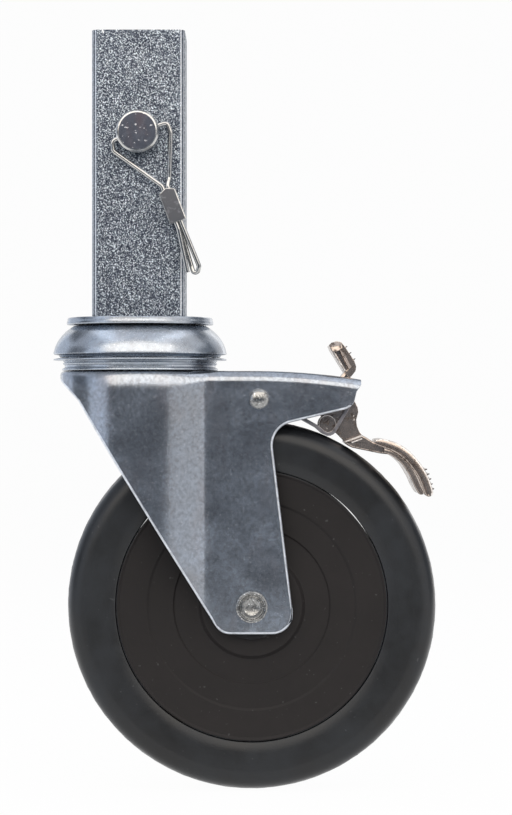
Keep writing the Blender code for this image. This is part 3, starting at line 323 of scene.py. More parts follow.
def rod(name, radius, start, end, steps=48):
    """A plain rod between two places, used as a cutter or a blank."""
    run = end - start
    piece = added(
        name, bpy.ops.mesh.primitive_cylinder_add, vertices=steps, radius=radius, depth=run.length,
        location=(start + end) / 2, rotation=run.to_track_quat("Z", "Y").to_euler())
    place(piece)
    return piece


def grid_skin(name, rows):
    """An open sheet through rows of points."""
    down, along = len(rows), len(rows[0])
    piece = added(
        name, bpy.ops.mesh.primitive_grid_add, x_subdivisions=along - 1, y_subdivisions=down - 1, size=1.0)
    for vertex in piece.data.vertices:
        column = round((vertex.co.x + 0.5) * (along - 1))
        row = round((vertex.co.y + 0.5) * (down - 1))
        vertex.co = rows[row][column]
    return piece


def closed_skin(name, rows):
    """A skin through rows of points, joined along its seam and capped at its open ends."""
    piece = grid_skin(name, rows)
    edit(piece, "EDGE")
    bpy.ops.mesh.remove_doubles(threshold=0.004 * MM)
    bpy.ops.mesh.select_all(action="DESELECT")
    bpy.ops.mesh.select_non_manifold(
        extend=False, use_wire=False, use_boundary=True, use_multi_face=False,
        use_non_contiguous=False, use_verts=False)
    bpy.ops.mesh.edge_face_add()
    bpy.ops.mesh.select_all(action="SELECT")
    bpy.ops.mesh.normals_make_consistent(inside=False)
    leave()
    return piece


def combine(piece, tools, operation, crossing=False):
    """Cut or trim a piece with tools, which are used up; crossing when its own skin crosses itself."""
    for tool in tools:
        apply_modifier(
            piece, "BOOLEAN", operation=operation, solver="EXACT", use_self=crossing, object=tool)
        bpy.data.objects.remove(tool)


def joined(pieces):
    """The pieces as one object, each form still a closed shape of its own."""
    only(*pieces)
    bpy.ops.object.join()
    return pieces[0]


def smooth_share(low, high, value):
    share = max(0.0, min(1.0, (value - low) / (high - low)))
    return share * share * (3 - 2 * share)


def both_ends(half):
    """A profile about a mid-plane, from its own half and the mirror of it."""
    return half + [(radius, -height) for radius, height in half[::-1]]


def bowed(start, knee, end, steps):
    """Points on a curve from start to end, bent towards the knee."""
    points = []
    for index in range(steps + 1):
        t = index / steps
        points.append(start * (1 - t) ** 2 + knee * 2 * t * (1 - t) + end * t ** 2)
    return points


def from_mm(radius, height, rows):
    """Rows of (inset from the radius, rise over the height, softness) in millimetres, in metres."""
    return [(radius - inset * MM, height + rise * MM, soft * MM) for inset, rise, soft in rows]


def inset_path(path, distance):
    """The path moved to its right by distance."""
    moved = []
    for index, point in enumerate(path):
        before = Vector(path[max(index - 1, 0)])
        after = Vector(path[min(index + 1, len(path) - 1)])
        along = (after - before).normalized()
        moved.append((point[0] + along.y * distance, point[1] - along.x * distance))
    return moved


# Material helpers

def feed(tree, socket, value):
    """Link an input to a socket, or set it to a number, a vector or an RGB triple."""
    if isinstance(value, bpy.types.NodeSocket):
        tree.links.new(value, socket)
    elif socket.type == "RGBA":
        socket.default_value = (*value, 1.0)
    else:
        socket.default_value = value


def add_node(tree, kind, inputs, **settings):
    """A new node to the right of those before it, its inputs fed by name or number."""
    node = tree.nodes.new(kind)
    node.location = (NODE_STEP * (len(tree.nodes) - NODES_LEFT), -NODE_STEP)
    for name, value in settings.items():
        setattr(node, name, value)
    for key, value in inputs.items():
        feed(tree, node.inputs[key], value)
    return node


def calc(tree, operation, *values):
    return add_node(tree, "ShaderNodeMath", dict(enumerate(values)), operation=operation).outputs[0]


def scaled(tree, value, factor):
    return value if factor == 1.0 else calc(tree, "MULTIPLY", value, factor)


def ramp(tree, value, low, high, bottom=0.0, top=1.0):
    """Map low..high to bottom..top, clamped."""
    limits = {"From Min": low, "From Max": high, "To Min": bottom, "To Max": top}
    return add_node(tree, "ShaderNodeMapRange", {"Value": value, **limits}, clamp=True).outputs["Result"]


def noise_in(tree, vector, scale, detail=2.0, roughness=0.5, distortion=0.0):
    inputs = {
        "Vector": vector, "Scale": scale, "Detail": detail, "Roughness": roughness,
        "Distortion": distortion}
    return add_node(tree, "ShaderNodeTexNoise", inputs).outputs["Fac"]


def cells_in(tree, vector, scale):
    return add_node(tree, "ShaderNodeTexVoronoi", {"Vector": vector, "Scale": scale}).outputs


def split(tree, kind, value):
    """The three parts of a vector or a colour."""
    return add_node(tree, "ShaderNodeSeparate" + kind, {0: value}).outputs


def radius_of(tree, first, second):
    squares = [calc(tree, "MULTIPLY", part, part) for part in (first, second)]
    return calc(tree, "SQRT", calc(tree, "ADD", *squares))


# Shared effects: each takes its group and the group's inputs, and returns the outputs by name

def spangle(group, given):
    """Hot-dip zinc: bright specks and dark pits of crystal size over soft clouds."""
    parts = split(group, "Color", cells_in(group, given["Vector"], given["Crystals"])["Color"])
    fine = noise_in(group, given["Vector"], given["Specks"], 1.0, 0.5)
    cloud = noise_in(group, given["Vector"], 75.0, 4.0, 0.6)
    return {
        "Tone": parts[0], "Speck": ramp(group, fine, 0.58, 0.625), "Pit": ramp(group, fine, 0.47, 0.42),
        "Cloud": ramp(group, cloud, 0.35, 0.65), "Height": calc(group, "ADD", parts[1], fine)}


def painted_corner_light_and_shade(group, given):
    """Painted highlight and painted shade on the rolled corners of a square tube about Z: a bright line,
    then a dark one along each corner.
    """
    parts = split(group, "XYZ", given["Vector"])
    least = calc(group, "MINIMUM", calc(group, "ABSOLUTE", parts[0]), calc(group, "ABSOLUTE", parts[1]))
    past = calc(group, "SUBTRACT", least, given["Reach"])
    return {
        "Bright": ramp(group, calc(group, "ABSOLUTE", past), 0.00028, 0.00008),
        "Dark": ramp(group, past, 0.0002, 0.0004)}


def plating(group, given):
    """Satin plate: cloudy patches, a fine mottle, small white flecks and short handling scratches."""
    where = given["Vector"]
    drawn = add_node(group, "ShaderNodeVectorMath", {0: where, 1: (1.0, 1.0, 0.3)}, operation="MULTIPLY")
    tilt = add_node(group, "ShaderNodeMapping", {
        "Vector": where, "Rotation": (0.0, math.radians(38), 0.0), "Scale": (1.0, 1.0, 0.12)})
    scratch = cells_in(group, tilt.outputs[0], given["Scratches"])["Distance"]
    return {
        "Patch": ramp(group, noise_in(group, where, given["Patches"], 5.0, 0.62, 0.6), 0.36, 0.64),
        "Mottle": ramp(group, noise_in(group, where, 800.0, 3.0, 0.6), 0.42, 0.66),
        "Stain": ramp(group, noise_in(group, drawn.outputs[0], 130.0, 6.0, 0.7, 0.4), 0.50, 0.68),
        "Fleck": ramp(group, noise_in(group, where, given["Flecks"], 1.0, 0.4), 0.675, 0.735),
        "Scratch": ramp(group, scratch, 0.10, 0.05),
        "Grain": noise_in(group, where, 2400.0, 2.0, 0.6)}


def turning_marks(group, given):
    """Lathe marks: fine rings about the Z axis of the given vector."""
    parts = split(group, "XYZ", given["Vector"])
    reach = calc(group, "ADD", radius_of(group, parts[0], parts[1]), parts[2])
    return {
        "Ring": calc(group, "SINE", calc(group, "MULTIPLY", reach, given["Rings"])),
        "Wobble": noise_in(group, given["Vector"], 340.0, 3.0)}


def handling_wear(group, given):
    """Handling wear: dark pits and rubbed bright spots on plated bar and rubber."""
    coarse = noise_in(group, given["Vector"], given["Size"], 6.0, 0.72, 0.5)
    fine = calc(group, "MULTIPLY", given["Size"], 5.0)
    return {
        "Pit": ramp(group, coarse, 0.52, 0.60), "Rub": ramp(group, coarse, 0.47, 0.38),
        "Grain": noise_in(group, given["Vector"], fine, 3.0, 0.6)}


def rubber_dust(group, given):
    """Dust on moulded rubber: a fine film that gathers at a given radius about the wheel's axle."""
    where = given["Vector"]
    parts = split(group, "XYZ", where)
    radius = radius_of(group, parts[0], parts[2])
    off = calc(group, "ABSOLUTE", calc(group, "SUBTRACT", radius, given["Joint Radius"]))
    near = ramp(group, calc(group, "DIVIDE", off, given["Joint Width"]), 1.0, 0.2)
    broken = ramp(group, noise_in(group, where, 55.0, 4.0, 0.6), 0.30, 0.62)
    return {
        "Joint": calc(group, "MULTIPLY", near, broken),
        "Film": ramp(group, noise_in(group, where, 38.0, 7.0, 0.66, 0.3), 0.35, 0.70),
        "Grain": noise_in(group, where, 1500.0, 3.0, 0.6),
        "Fleck": ramp(group, noise_in(group, where, 700.0, 1.0, 0.4), 0.74, 0.80)}


EFFECTS = {
    "Spangle": (spangle, {"Crystals": 900.0, "Specks": 2750.0}),
    "RolledCorner": (painted_corner_light_and_shade, {"Reach": 0.0146}),
    "Plating": (plating, {"Patches": 60.0, "Flecks": 1800.0, "Scratches": 420.0}),
    "TurningMarks": (turning_marks, {"Rings": 16000.0}),
    "HandlingWear": (handling_wear, {"Size": 500.0}),
    "RubberDust": (rubber_dust, {"Joint Radius": 0.0464, "Joint Width": 0.0004})}


def shared_group(name):
    """The shader group of an effect, made once."""
    group = bpy.data.node_groups.get(name)
    if group:
        return group
    build, sizes = EFFECTS[name]
    group = bpy.data.node_groups.new(name, "ShaderNodeTree")
    group.interface.new_socket("Vector", in_out="INPUT", socket_type="NodeSocketVector")
    for label, size in sizes.items():
        socket = group.interface.new_socket(label, in_out="INPUT", socket_type="NodeSocketFloat")
        socket.default_value = size
    made = build(group, add_node(group, "NodeGroupInput", {}).outputs)
    for label in made:
        group.interface.new_socket(label, in_out="OUTPUT", socket_type="NodeSocketFloat")
    add_node(group, "NodeGroupOutput", made)
    return group


def effect(tree, name, centre=(0.0, 0.0, 0.0), turn=(0.0, 0.0, 0.0), **sizes):
    """Outputs of a shared effect in a material, which reads object coordinates about a centre."""
    coordinates = add_node(tree, "ShaderNodeTexCoord", {})
    mapping = add_node(tree, "ShaderNodeMapping", {
        "Vector": coordinates.outputs["Object"], "Location": centre,
        "Rotation": [math.radians(angle) for angle in turn]}, vector_type="TEXTURE")
    group = add_node(
        tree, "ShaderNodeGroup", {"Vector": mapping.outputs[0], **sizes}, node_tree=shared_group(name))
    return group.outputs


def start_material(name, colour, metallic, roughness):
    made = bpy.data.materials.new(name)
    made.use_nodes = True
    shader = made.node_tree.nodes["Principled BSDF"]
    for label, value in (("Base Color", colour), ("Metallic", metallic), ("Roughness", roughness)):
        feed(made.node_tree, shader.inputs[label], value)
    return made, made.node_tree, shader


def shade(colour):
    """An RGB triple, given as such or as the name of a user's colour with one factor or three."""
    if not isinstance(colour[0], str):
        return colour
    base = getattr(bpy.context.scene.castor_colours, colour[0])
    factors = colour[1:] * 3 if len(colour) == 2 else colour[1:]
    return tuple(min(1.0, channel * factor) for channel, factor in zip(base, factors))


def material(name):
    """The named finish, made once from its row."""
    made = bpy.data.materials.get(name)
    if made:
        return made
    row = FINISHES[name]
    made, tree, shader = start_material(name, shade(row["base"]), row["metallic"], 0.5)
    effects = {}

    def found(path):
        label, output = path.split(".")
        if label not in effects:
            effects[label] = effect(tree, label, **row.get(label, {}))
        return effects[label][output]

    colour = shade(row["base"])
    for path, part, over in row["layers"]:
        colour = mixed(tree, scaled(tree, found(path), part), colour, shade(over))
    rough = row["rough"]
    if isinstance(rough, tuple):
        rough = ramp(tree, found(rough[0]), *rough[1:])
    strength, depth, *heights = row["bump"]
    height = None
    for item in heights:
        path, factor = item if isinstance(item, tuple) else (item, 1.0)
        part = scaled(tree, found(path), factor)
        height = part if height is None else calc(tree, "ADD", height, part)
    relief = add_node(
        tree, "ShaderNodeBump", {"Strength": strength, "Distance": depth * MM, "Height": height})
    for label, value in (
            ("Base Color", colour), ("Roughness", rough), ("Normal", relief.outputs[0]),
            ("Specular IOR Level", row.get("specular", 0.5))):
        feed(tree, shader.inputs[label], value)
    return made


def mixed(tree, share, first, second):
    """Mix two colours, each a socket or an RGB triple."""
    return add_node(tree, "ShaderNodeMix", {0: share, 6: first, 7: second}, data_type="RGBA").outputs[2]


# White of the zinc's small flecks, also the colour of the stem corners' painted highlight
FLECK_AND_HIGHLIGHT_WHITE = (0.95, 0.97, 1.0)
LATHE_GLOSS = ("TurningMarks.Wobble", 0.3, 0.7)

# Finishes. Each layer covers the ones before it by an effect's output times a share.
# A bump gives its strength, its depth in millimetres and the outputs that add up to its height.
FINISHES = {
    # Galvanised stem: spangle over soft clouds, with a painted highlight along each rolled corner and
    # painted shade beside it
    "Galvanised stem": dict(
        base=("galvanised", 0.80), metallic=0.85, rough=("Spangle.Tone", 0.0, 1.0, 0.34, 0.55),
        layers=[
            ("Spangle.Cloud", 1.0, ("galvanised", 1.0)), ("Spangle.Pit", 0.95, (0.025, 0.032, 0.055)),
            ("Spangle.Speck", 1.0, (0.86, 0.94, 1.0)), ("RolledCorner.Dark", 0.72, (0.07, 0.085, 0.12)),
            ("RolledCorner.Bright", 0.8, FLECK_AND_HIGHLIGHT_WHITE)],
        bump=(0.45, 0.10, "Spangle.Height")),
    # Dull plate of the fork: fine grey mottle, small white flecks, faint brown stains and scratches
    "Zinc plate": dict(
        base=("zinc", 0.84), metallic=0.97, rough=("Plating.Patch", 0.0, 1.0, 0.19, 0.27),
        layers=[
            ("Plating.Patch", 1.0, ("zinc", 0.97, 1.02, 1.08)), ("Plating.Mottle", 0.55, ("zinc", 0.55)),
            ("Plating.Stain", 0.4, ("zinc", 0.86, 0.78, 0.76)), ("Plating.Fleck", 0.15, FLECK_AND_HIGHLIGHT_WHITE),
            ("Plating.Scratch", 0.30, ("zinc", 1.8))],
        bump=(0.3, 0.03, ("Plating.Grain", 0.2), "Plating.Fleck")),
    # Brighter zinc on the turned and pressed rings of the swivel head
    "Turned zinc": dict(
        base=("zinc", 0.9944), metallic=0.97, rough=(*LATHE_GLOSS, 0.22, 0.32), Plating=dict(Patches=85.0),
        layers=[
            ("Plating.Patch", 1.0, ("zinc", 1.1187, 1.1752, 1.2204)),
            ("Plating.Mottle", 0.35, ("zinc", 0.7006)), ("Plating.Fleck", 0.35, FLECK_AND_HIGHLIGHT_WHITE)],
        bump=(0.10, 0.02, "TurningMarks.Ring")),
    # Sheared edge of the sheet: rolled over and finely torn; its pale colour is partly burnished metal and
    # partly a painted highlight along the edge
    "Cut edge": dict(
        base=("zinc", 1.3), metallic=0.9, rough=0.40, Plating=dict(Patches=300.0, Flecks=1600.0),
        layers=[("Plating.Patch", 1.0, ("zinc", 1.9))], bump=(0.4, 0.05, "Plating.Grain")),
    "Bright steel": dict(
        base=("bright", 1.0), metallic=1.0, rough=(*LATHE_GLOSS, 0.17, 0.30), HandlingWear=dict(Size=380.0),
        layers=[("HandlingWear.Pit", 0.6, ("bright", 0.55))], bump=(0.12, 0.02, "HandlingWear.Grain")),
    # Peened heads of the axle and the rivet: dented and stained
    "Riveted steel": dict(
        base=("bright", 0.6), metallic=1.0, rough=("Plating.Patch", 0.0, 1.0, 0.14, 0.3),
        HandlingWear=dict(Size=520.0), Plating=dict(Patches=420.0),
        layers=[("HandlingWear.Pit", 0.75, ("bright", 0.21)), ("Plating.Fleck", 1.0, (0.95, 0.96, 0.98))],
        bump=(0.35, 0.12, "Plating.Patch", "HandlingWear.Grain")),
    # Dark, handled pin: bluish rubbed patches, warmer stains and a few white nicks
    "Pin steel": dict(
        base=(0.135, 0.15, 0.19), metallic=1.0, rough=0.24, HandlingWear=dict(Size=260.0),
        Plating=dict(Flecks=1000.0),
        layers=[
            ("HandlingWear.Rub", 1.0, (0.18, 0.195, 0.24)), ("Plating.Stain", 0.7, (0.19, 0.135, 0.145)),
            ("Plating.Fleck", 1.0, (0.95, 0.95, 0.98))],
        bump=(0.12, 0.03, "HandlingWear.Grain")),
    "Drawn wire": dict(
        base=("bright", 0.85), metallic=1.0, rough=0.14, HandlingWear=dict(Size=700.0),
        layers=[("HandlingWear.Pit", 0.35, ("bright", 0.425))], bump=(0.08, 0.02, "HandlingWear.Grain")),
    "Dark crimp": dict(
        base=(0.20, 0.205, 0.225), metallic=0.95, rough=0.30, HandlingWear=dict(Size=420.0),
        layers=[("HandlingWear.Rub", 1.0, (0.34, 0.345, 0.37))], bump=(0.3, 0.04, "HandlingWear.Grain")),
    "Washer steel": dict(
        base=(0.02, 0.02, 0.022), metallic=0.7, rough=0.5, HandlingWear=dict(Size=420.0),
        layers=[("HandlingWear.Rub", 1.0, (0.06, 0.06, 0.065))], bump=(0.3, 0.04, "HandlingWear.Grain")),
    # Old nickel on pressed steel: warm, with dark brown pits
    "Brown nickel": dict(
        base=("nickel", 1.0), metallic=0.9, rough=("HandlingWear.Pit", 0.0, 1.0, 0.20, 0.42),
        HandlingWear=dict(Size=330.0),
        layers=[
            ("HandlingWear.Rub", 1.0, ("nickel", 1.25, 1.22, 1.2)),
            ("HandlingWear.Pit", 0.85, (0.07, 0.052, 0.045))],
        bump=(0.25, 0.05, "HandlingWear.Grain")),
    # Pale nickel on the lever's rims, thin wall, lines, bead faces and small bumps: a painted highlight
    "Pale nickel painted highlight": dict(
        base=(0.93, 0.88, 0.84), metallic=0.35, rough=0.35, HandlingWear=dict(Size=600.0),
        layers=[("HandlingWear.Pit", 0.6, ("nickel", 0.6))], bump=(0.3, 0.04, "HandlingWear.Grain")),
    "Spring steel": dict(
        base=("spring", 1.0), metallic=0.95, rough=0.36, HandlingWear=dict(Size=300.0),
        layers=[("HandlingWear.Pit", 0.7, ("spring", 0.45))], bump=(0.2, 0.03, "HandlingWear.Grain")),
    "Tyre rubber": dict(
        base=("tyre", 1.0), metallic=0.0, rough=("RubberDust.Film", 0.0, 1.0, 0.28, 0.46), specular=0.45,
        RubberDust=dict(centre=AXLE),
        layers=[
            ("RubberDust.Film", 0.8, (0.020, 0.024, 0.030)),
            ("RubberDust.Fleck", 0.35, (0.10, 0.105, 0.11))],
        bump=(0.25, 0.08, "RubberDust.Grain")),
    "Core rubber": dict(
        base=("core", 1.0), metallic=0.0, rough=0.6, specular=0.35, RubberDust=dict(centre=AXLE),
        layers=[
            ("RubberDust.Film", 0.6, ("core", 1.7)), ("RubberDust.Joint", 0.8, (0.055, 0.062, 0.072)),
            ("RubberDust.Fleck", 0.3, (0.12, 0.12, 0.12))],
        bump=(0.3, 0.08, "RubberDust.Grain")),
    "Bush bronze": dict(
        base=("bronze", 0.75), metallic=1.0, rough=0.35,
        TurningMarks=dict(centre=AXLE, turn=(90.0, 0.0, 0.0)),
        layers=[("TurningMarks.Wobble", 1.0, ("bronze", 1.0))], bump=(0.15, 0.02, "TurningMarks.Ring"))}


# Pieces

class CastorPiece:
    """Shared settings and steps of the piece operators."""
    bl_options = {"REGISTER", "UNDO"}

    @property
    def sizes(self):
        return bpy.context.scene.castor_sizes

    def refine(self, finish, **names):
        """Copies of CAD nodes with their edges broken, each under its own name."""
        for node, name in names.items():
            dress(refined(node, name, self.sizes.edge), node, finish)


class CASTOR_OT_stem(CastorPiece, bpy.types.Operator):
    """Square stem tube and the plug in its foot"""
    bl_idname = "castor.stem"
    bl_label = "Stem"

    def execute(self, context):
        stem = copied("stem_tube", "stem")
        round_edges(stem, 0.4 * self.sizes.edge)
        self.cut_nick(stem)
        smooth(stem)
        dress(stem, "stem_tube", "Galvanised stem")
        self.refine("Bright steel", stem_foot_plug="foot_plug")
        return {"FINISHED"}

    def cut_nick(self, stem):
        """Small nick that the saw left in the near wall's top edge."""
        cutter = added(
            "nick", bpy.ops.mesh.primitive_cube_add, size=1.0,
            location=(-12.2 * MM, STEM_LOW.y, STEM_HIGH.z), rotation=(0.0, math.radians(-14), 0.0),
            scale=(0.55 * MM, 8.0 * MM, 2.6 * MM))
        place(cutter)
        combine(stem, [cutter], "DIFFERENCE")


class CASTOR_OT_locking_pin(CastorPiece, bpy.types.Operator):
    """Locking pin with its domed head and wire hole"""
    bl_idname = "castor.locking_pin"
    bl_label = "Locking pin"

    def execute(self, context):
        head = (PIN_HIGH.x - PIN_LOW.x) / 2 + 0.3 * MM
        shank = 4.76 * MM
        tip = PIN_HIGH.y
        front = PIN_LOW.y
        back = front + 3.6 * MM
        outline = softened(
            [(0.0, tip, 0.0)] + from_mm(shank, tip, [(1.4, 0.0, 0.5), (0.0, -1.5, 0.5)])
            + [(shank, back, 0.2 * MM), (head, back, 0.3 * MM)]
            + from_mm(head, front, [(0.0, 1.0, 0.25), (0.62, 0.12, 0.12), (1.1, 0.02, 0.3)])
            + [(0.0, front, 0.0)])
        pin = spun("locking_pin", outline, self.sizes.turned_steps, (0.0, 0.0, PIN_AT.z), "Y")
        reach = WIRE_AXIS * 10.0 * MM
        combine(pin, [rod("wire_hole", 1.1 * MM, WIRE_EYE - reach, WIRE_EYE + reach, 32)], "DIFFERENCE")
        smooth(pin)
        dress(pin, "lock_pin", "Pin steel", "Bright steel")
        for face in pin.data.polygons:
            away = Vector((face.center.x, face.center.z - PIN_AT.z)).length
            on_rim = away > head - 1.0 * MM and face.center.y < back
            face.material_index = 1 if on_rim else 0
        return {"FINISHED"}


# The crimped sleeve: its top end from the wire's eye, its direction and its length
SLEEVE_TOP = Vector((9.55, 0.0, -19.3)) * MM
SLEEVE_AXIS = Vector((4.25, 0.0, -11.2)).normalized()
SLEEVE_LENGTH = 12.0 * MM


def wire_route():
    """Route of the bent wire, from its free tail round through the pin and back."""
    side = Vector((-SLEEVE_AXIS.z, 0.0, SLEEVE_AXIS.x))
    top = WIRE_EYE + SLEEVE_TOP
    bottom = top + SLEEVE_AXIS * SLEEVE_LENGTH
    out = SLEEVE_AXIS * 2.5 * MM

    def strand(end, across, depth):
        return end + side * across * MM + Vector((0.0, depth * MM, 0.0))

    def at(x, drop, depth=0.0):
        return WIRE_EYE + Vector((x, depth, -drop)) * MM

    return [
        at(16.9, 47.8, -0.3), strand(bottom + out, -0.9, -0.75), strand(top - out * 0.5, -0.9, -0.75),
        at(-8.3, 6.5), WIRE_EYE + WIRE_AXIS * 9.3 * MM, WIRE_EYE - WIRE_AXIS * 10.6 * MM,
        at(11.2, 0.2), at(10.7, 15.7),
        strand(top - out * 0.3, 0.9, -0.75), strand(bottom + out, 0.9, -0.75), at(20.9, 45.7, -0.3),
        at(20.3, 47.7, 0.2), at(18.9, 47.7, 0.5), at(18.3, 45.7, 0.75),
        strand(bottom + out, -0.1, 0.8), strand(top + SLEEVE_AXIS * 2.0 * MM, -0.1, 0.8)]


def bent(route, radius, steps):
    """The route with each corner bent round a radius where it has room."""
    points = [route[0]]
    for before, here, after in zip(route, route[1:], route[2:]):
        first = (before - here).normalized()
        second = (after - here).normalized()
        room = 0.45 * min((before - here).length, (after - here).length)
        reach = min(radius / math.tan(first.angle(second) / 2), room)
        points += bowed(here + first * reach, here, here + second * reach, steps)
    return points + [route[-1]]


class CASTOR_OT_pull_wire(CastorPiece, bpy.types.Operator):
    """Bent pull wire and the crimped sleeve round its strands"""
    bl_idname = "castor.pull_wire"
    bl_label = "Pull wire"

    def execute(self, context):
        points = bent(wire_route(), 2.0 * MM, 8)
        curve = bpy.data.curves.new("pull_wire_bends", "CURVE")
        curve.dimensions = "3D"
        spline = curve.splines.new("POLY")
        spline.points.add(len(points) - 1)
        for target, point in zip(spline.points, points):
            target.co = (*point, 1.0)
        curve.bevel_depth = self.sizes.wire_radius
        curve.bevel_resolution = 6
        curve.use_fill_caps = True
        wire = bpy.data.objects.new("pull_wire_bends", curve)
        bpy.context.scene.collection.objects.link(wire)
        only(wire)
        bpy.ops.object.convert(target="MESH")
        wire = bpy.context.object
        edit(wire)
        bpy.ops.mesh.remove_doubles(threshold=0.002 * MM)
        bpy.ops.mesh.normals_make_consistent(inside=False)
        leave()
        smooth(wire, 50, flats=False)
        dress(wire, "pull_wire", "Drawn wire")
        self.add_sleeve()
        return {"FINISHED"}

    def add_sleeve(self):
        """Flattened tube with its top corners cut back."""
        low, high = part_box("wire_sleeve")
        depth = (high.y - low.y) / 2
        half = 3.0 * MM
        sleeve = added(
            "crimped_sleeve", bpy.ops.mesh.primitive_cube_add, size=1.0,
            scale=(2 * half, 2 * depth, SLEEVE_LENGTH))
        place(sleeve)
        round_edges(sleeve, 0.4 * MM, segments=2, wanted=lambda line: abs(
            line.verts[0].co.z - line.verts[1].co.z) > 5 * MM)
        edit(sleeve)
        for side in (-1, 1):
            bpy.ops.mesh.select_all(action="SELECT")
            bpy.ops.mesh.bisect(
                plane_co=(side * 0.2 * MM, 0.0, SLEEVE_LENGTH / 2), plane_no=(side * 0.42, 0.0, 0.9),
                use_fill=True, clear_outer=True)
        bpy.ops.mesh.select_all(action="SELECT")
        bpy.ops.mesh.normals_make_consistent(inside=False)
        leave()
        round_edges(sleeve, 0.22 * MM, angle=15.0, segments=2)
        smooth(sleeve, 30)
        frame_turn = Matrix((
            (-SLEEVE_AXIS.z, 0.0, -SLEEVE_AXIS.x, 0.0), (0.0, 1.0, 0.0, 0.0),
            (SLEEVE_AXIS.x, 0.0, -SLEEVE_AXIS.z, 0.0), (0.0, 0.0, 0.0, 1.0)))
        middle = (low + high) / 2
        folds = [max(abs(part) for part in face.normal) < 0.97 for face in sleeve.data.polygons]
        sleeve.data.transform(Matrix.Translation(middle) @ frame_turn)
        dress(sleeve, "wire_sleeve", "Dark crimp", "Bright steel")
        for face, rounded in zip(sleeve.data.polygons, folds):
            face.material_index = 1 if rounded else 0


class CASTOR_OT_swivel_head(CastorPiece, bpy.types.Operator):
    """Collar, pressed cap, dust seal, race ring, lower cup, kingpin and nut"""
    bl_idname = "castor.swivel_head"
    bl_label = "Swivel head"

    def execute(self, context):
        bore = 6.3 * MM
        for node, name, outline in (
                ("collar_washer", "collar", self.collar(bore)), ("raceway_cap", "head_cap", self.cap(bore)),
                ("dust_seal", "seal_disc", self.seal()), ("race_ring", "race_band", self.race())):
            ring = spun(name, outline, self.sizes.turned_steps)
            smooth(ring, 30)
            dress(ring, node, "Turned zinc")
        self.refine("Bright steel", kingpin="kingpin_bolt", kingpin_nut="kingpin_hex")
        self.refine("Turned zinc", lower_race_cup="lower_cup")
        return {"FINISHED"}

    def collar(self, bore):
        """Flat ring with a bevelled top edge and a rim that leans in a little."""
        radius = COLLAR_HIGH.x
        top, bottom = COLLAR_HIGH.z, COLLAR_LOW.z
        foot = [(0.15, 0.0, 0.15), (0.0, 0.35, 0.2), (0.04, 0.9, 0.3), (0.26, 1.5, 0.2)]
        return softened(
            [(bore, bottom, 0.0)] + from_mm(radius, bottom, foot)
            + from_mm(radius, top, [(0.30, -0.35, 0.15), (0.62, 0.0, 0.15)]) + [(bore, top, 0.0)])

    def cap(self, bore):
        """Pressed dome with a sharp lower corner and a lip turned in below it."""
        radius = CAP_HIGH.x
        top, bottom = CAP_HIGH.z, CAP_LOW.z
        flat = radius - 7.6 * MM
        start = Vector((flat + 0.8 * MM, top - 0.25 * MM))
        knee = Vector((radius - 0.9 * MM, top - 0.36 * (top - bottom)))
        skirt = Vector((radius, bottom + 1.35 * MM))
        outer = [(bore, top), (flat, top), (flat + 0.4 * MM, top - 0.08 * MM)]
        outer += [tuple(point) for point in bowed(start, knee, skirt, 20)]
        inner = inset_path(outer, 1.8 * MM)
        lip = [
            (0.06, 1.14), (0.25, 0.98), (0.7, 0.9), (1.6, 0.8), (1.85, 0.66), (2.2, 0.08), (2.4, 0.02),
            (3.1, 0.05)]
        outer += [(radius - inset * MM, bottom + rise * MM) for inset, rise in lip]
        inner += [(radius - 1.9 * MM, bottom + 1.7 * MM), (radius - 3.2 * MM, bottom + 1.4 * MM)]
        return outer + inner[::-1]

    def seal(self):
        radius, top, bottom = SEAL_HIGH.x, SEAL_HIGH.z, SEAL_LOW.z
        inner = radius - 4.5 * MM
        thick = 0.42 * MM
        rim = 0.26 * MM
        curl = arc((radius - rim, bottom + rim), rim, 100, -100, 9)
        face = [(inner, top), (radius - 1.3 * MM, top), (radius - 0.8 * MM, top - 0.1 * MM)]
        back = [(radius - 0.9 * MM, top - thick - 0.1 * MM), (radius - 1.4 * MM, top - thick)]
        return face + curl + back + [(inner, top - thick)]

    def race(self):
        radius = RACE_HIGH.x
        low = RACE_LOW.z
        band = SEAL_LOW.z
        neck = radius - 1.8 * MM
        bore = 16.2 * MM
        ball_z = CAP_HIGH.z - 6.07 * MM
        track = arc((20.8 * MM, ball_z), 4.27 * MM, 232, 308, 14)
        shelf = track[0][1]
        groove = [(reach, height, 0.0) for reach, height in track]
        steps = [
            (0.45, 0.0, 0.1), (0.30, -0.15, 0.1), (0.30, -0.45, 0.1), (0.75, -0.55, 0.1),
            (0.75, -0.78, 0.1), (0.32, -0.92, 0.1), (0.25, -1.2, 0.2), (0.45, -1.5, 0.2),
            (0.85, -1.75, 0.3), (0.85, -2.45, 0.3), (0.45, -2.72, 0.1), (0.05, -2.88, 0.15),
            (0.0, -3.3, 0.05), (0.15, -3.5, 0.05)]
        return softened([(bore, low, 0.2 * MM), (bore, shelf, 0.2 * MM)] + groove + [
            (neck, shelf, 0.2 * MM), (neck, band, 0.0)] + from_mm(radius, band, steps))


class CASTOR_OT_balls(CastorPiece, bpy.types.Operator):
    """Bearing balls of both races"""
    bl_idname = "castor.balls"
    bl_label = "Bearing balls"

    def execute(self, context):
        for kind in ("upper_ball_", "lower_ball_"):
            first = None
            for node in sorted(name for name in NODES if name.startswith(kind)):
                low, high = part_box(node)
                centre = (low + high) / 2
                name = "bearing_" + node
                if first is None:
                    first = added(
                        name, bpy.ops.mesh.primitive_uv_sphere_add, segments=24, ring_count=14,
                        radius=(high.z - low.z) / 2, location=centre)
                    place(first)
                    smooth(first, 60, flats=False)
                    ball, home = first, centre
                else:
                    ball = bpy.data.objects.new(name, first.data.copy())
                    bpy.context.scene.collection.objects.link(ball)
                    ball.data.name = name
                    ball.data.transform(Matrix.Translation(centre - home))
                dress(ball, node, "Bright steel")
        return {"FINISHED"}


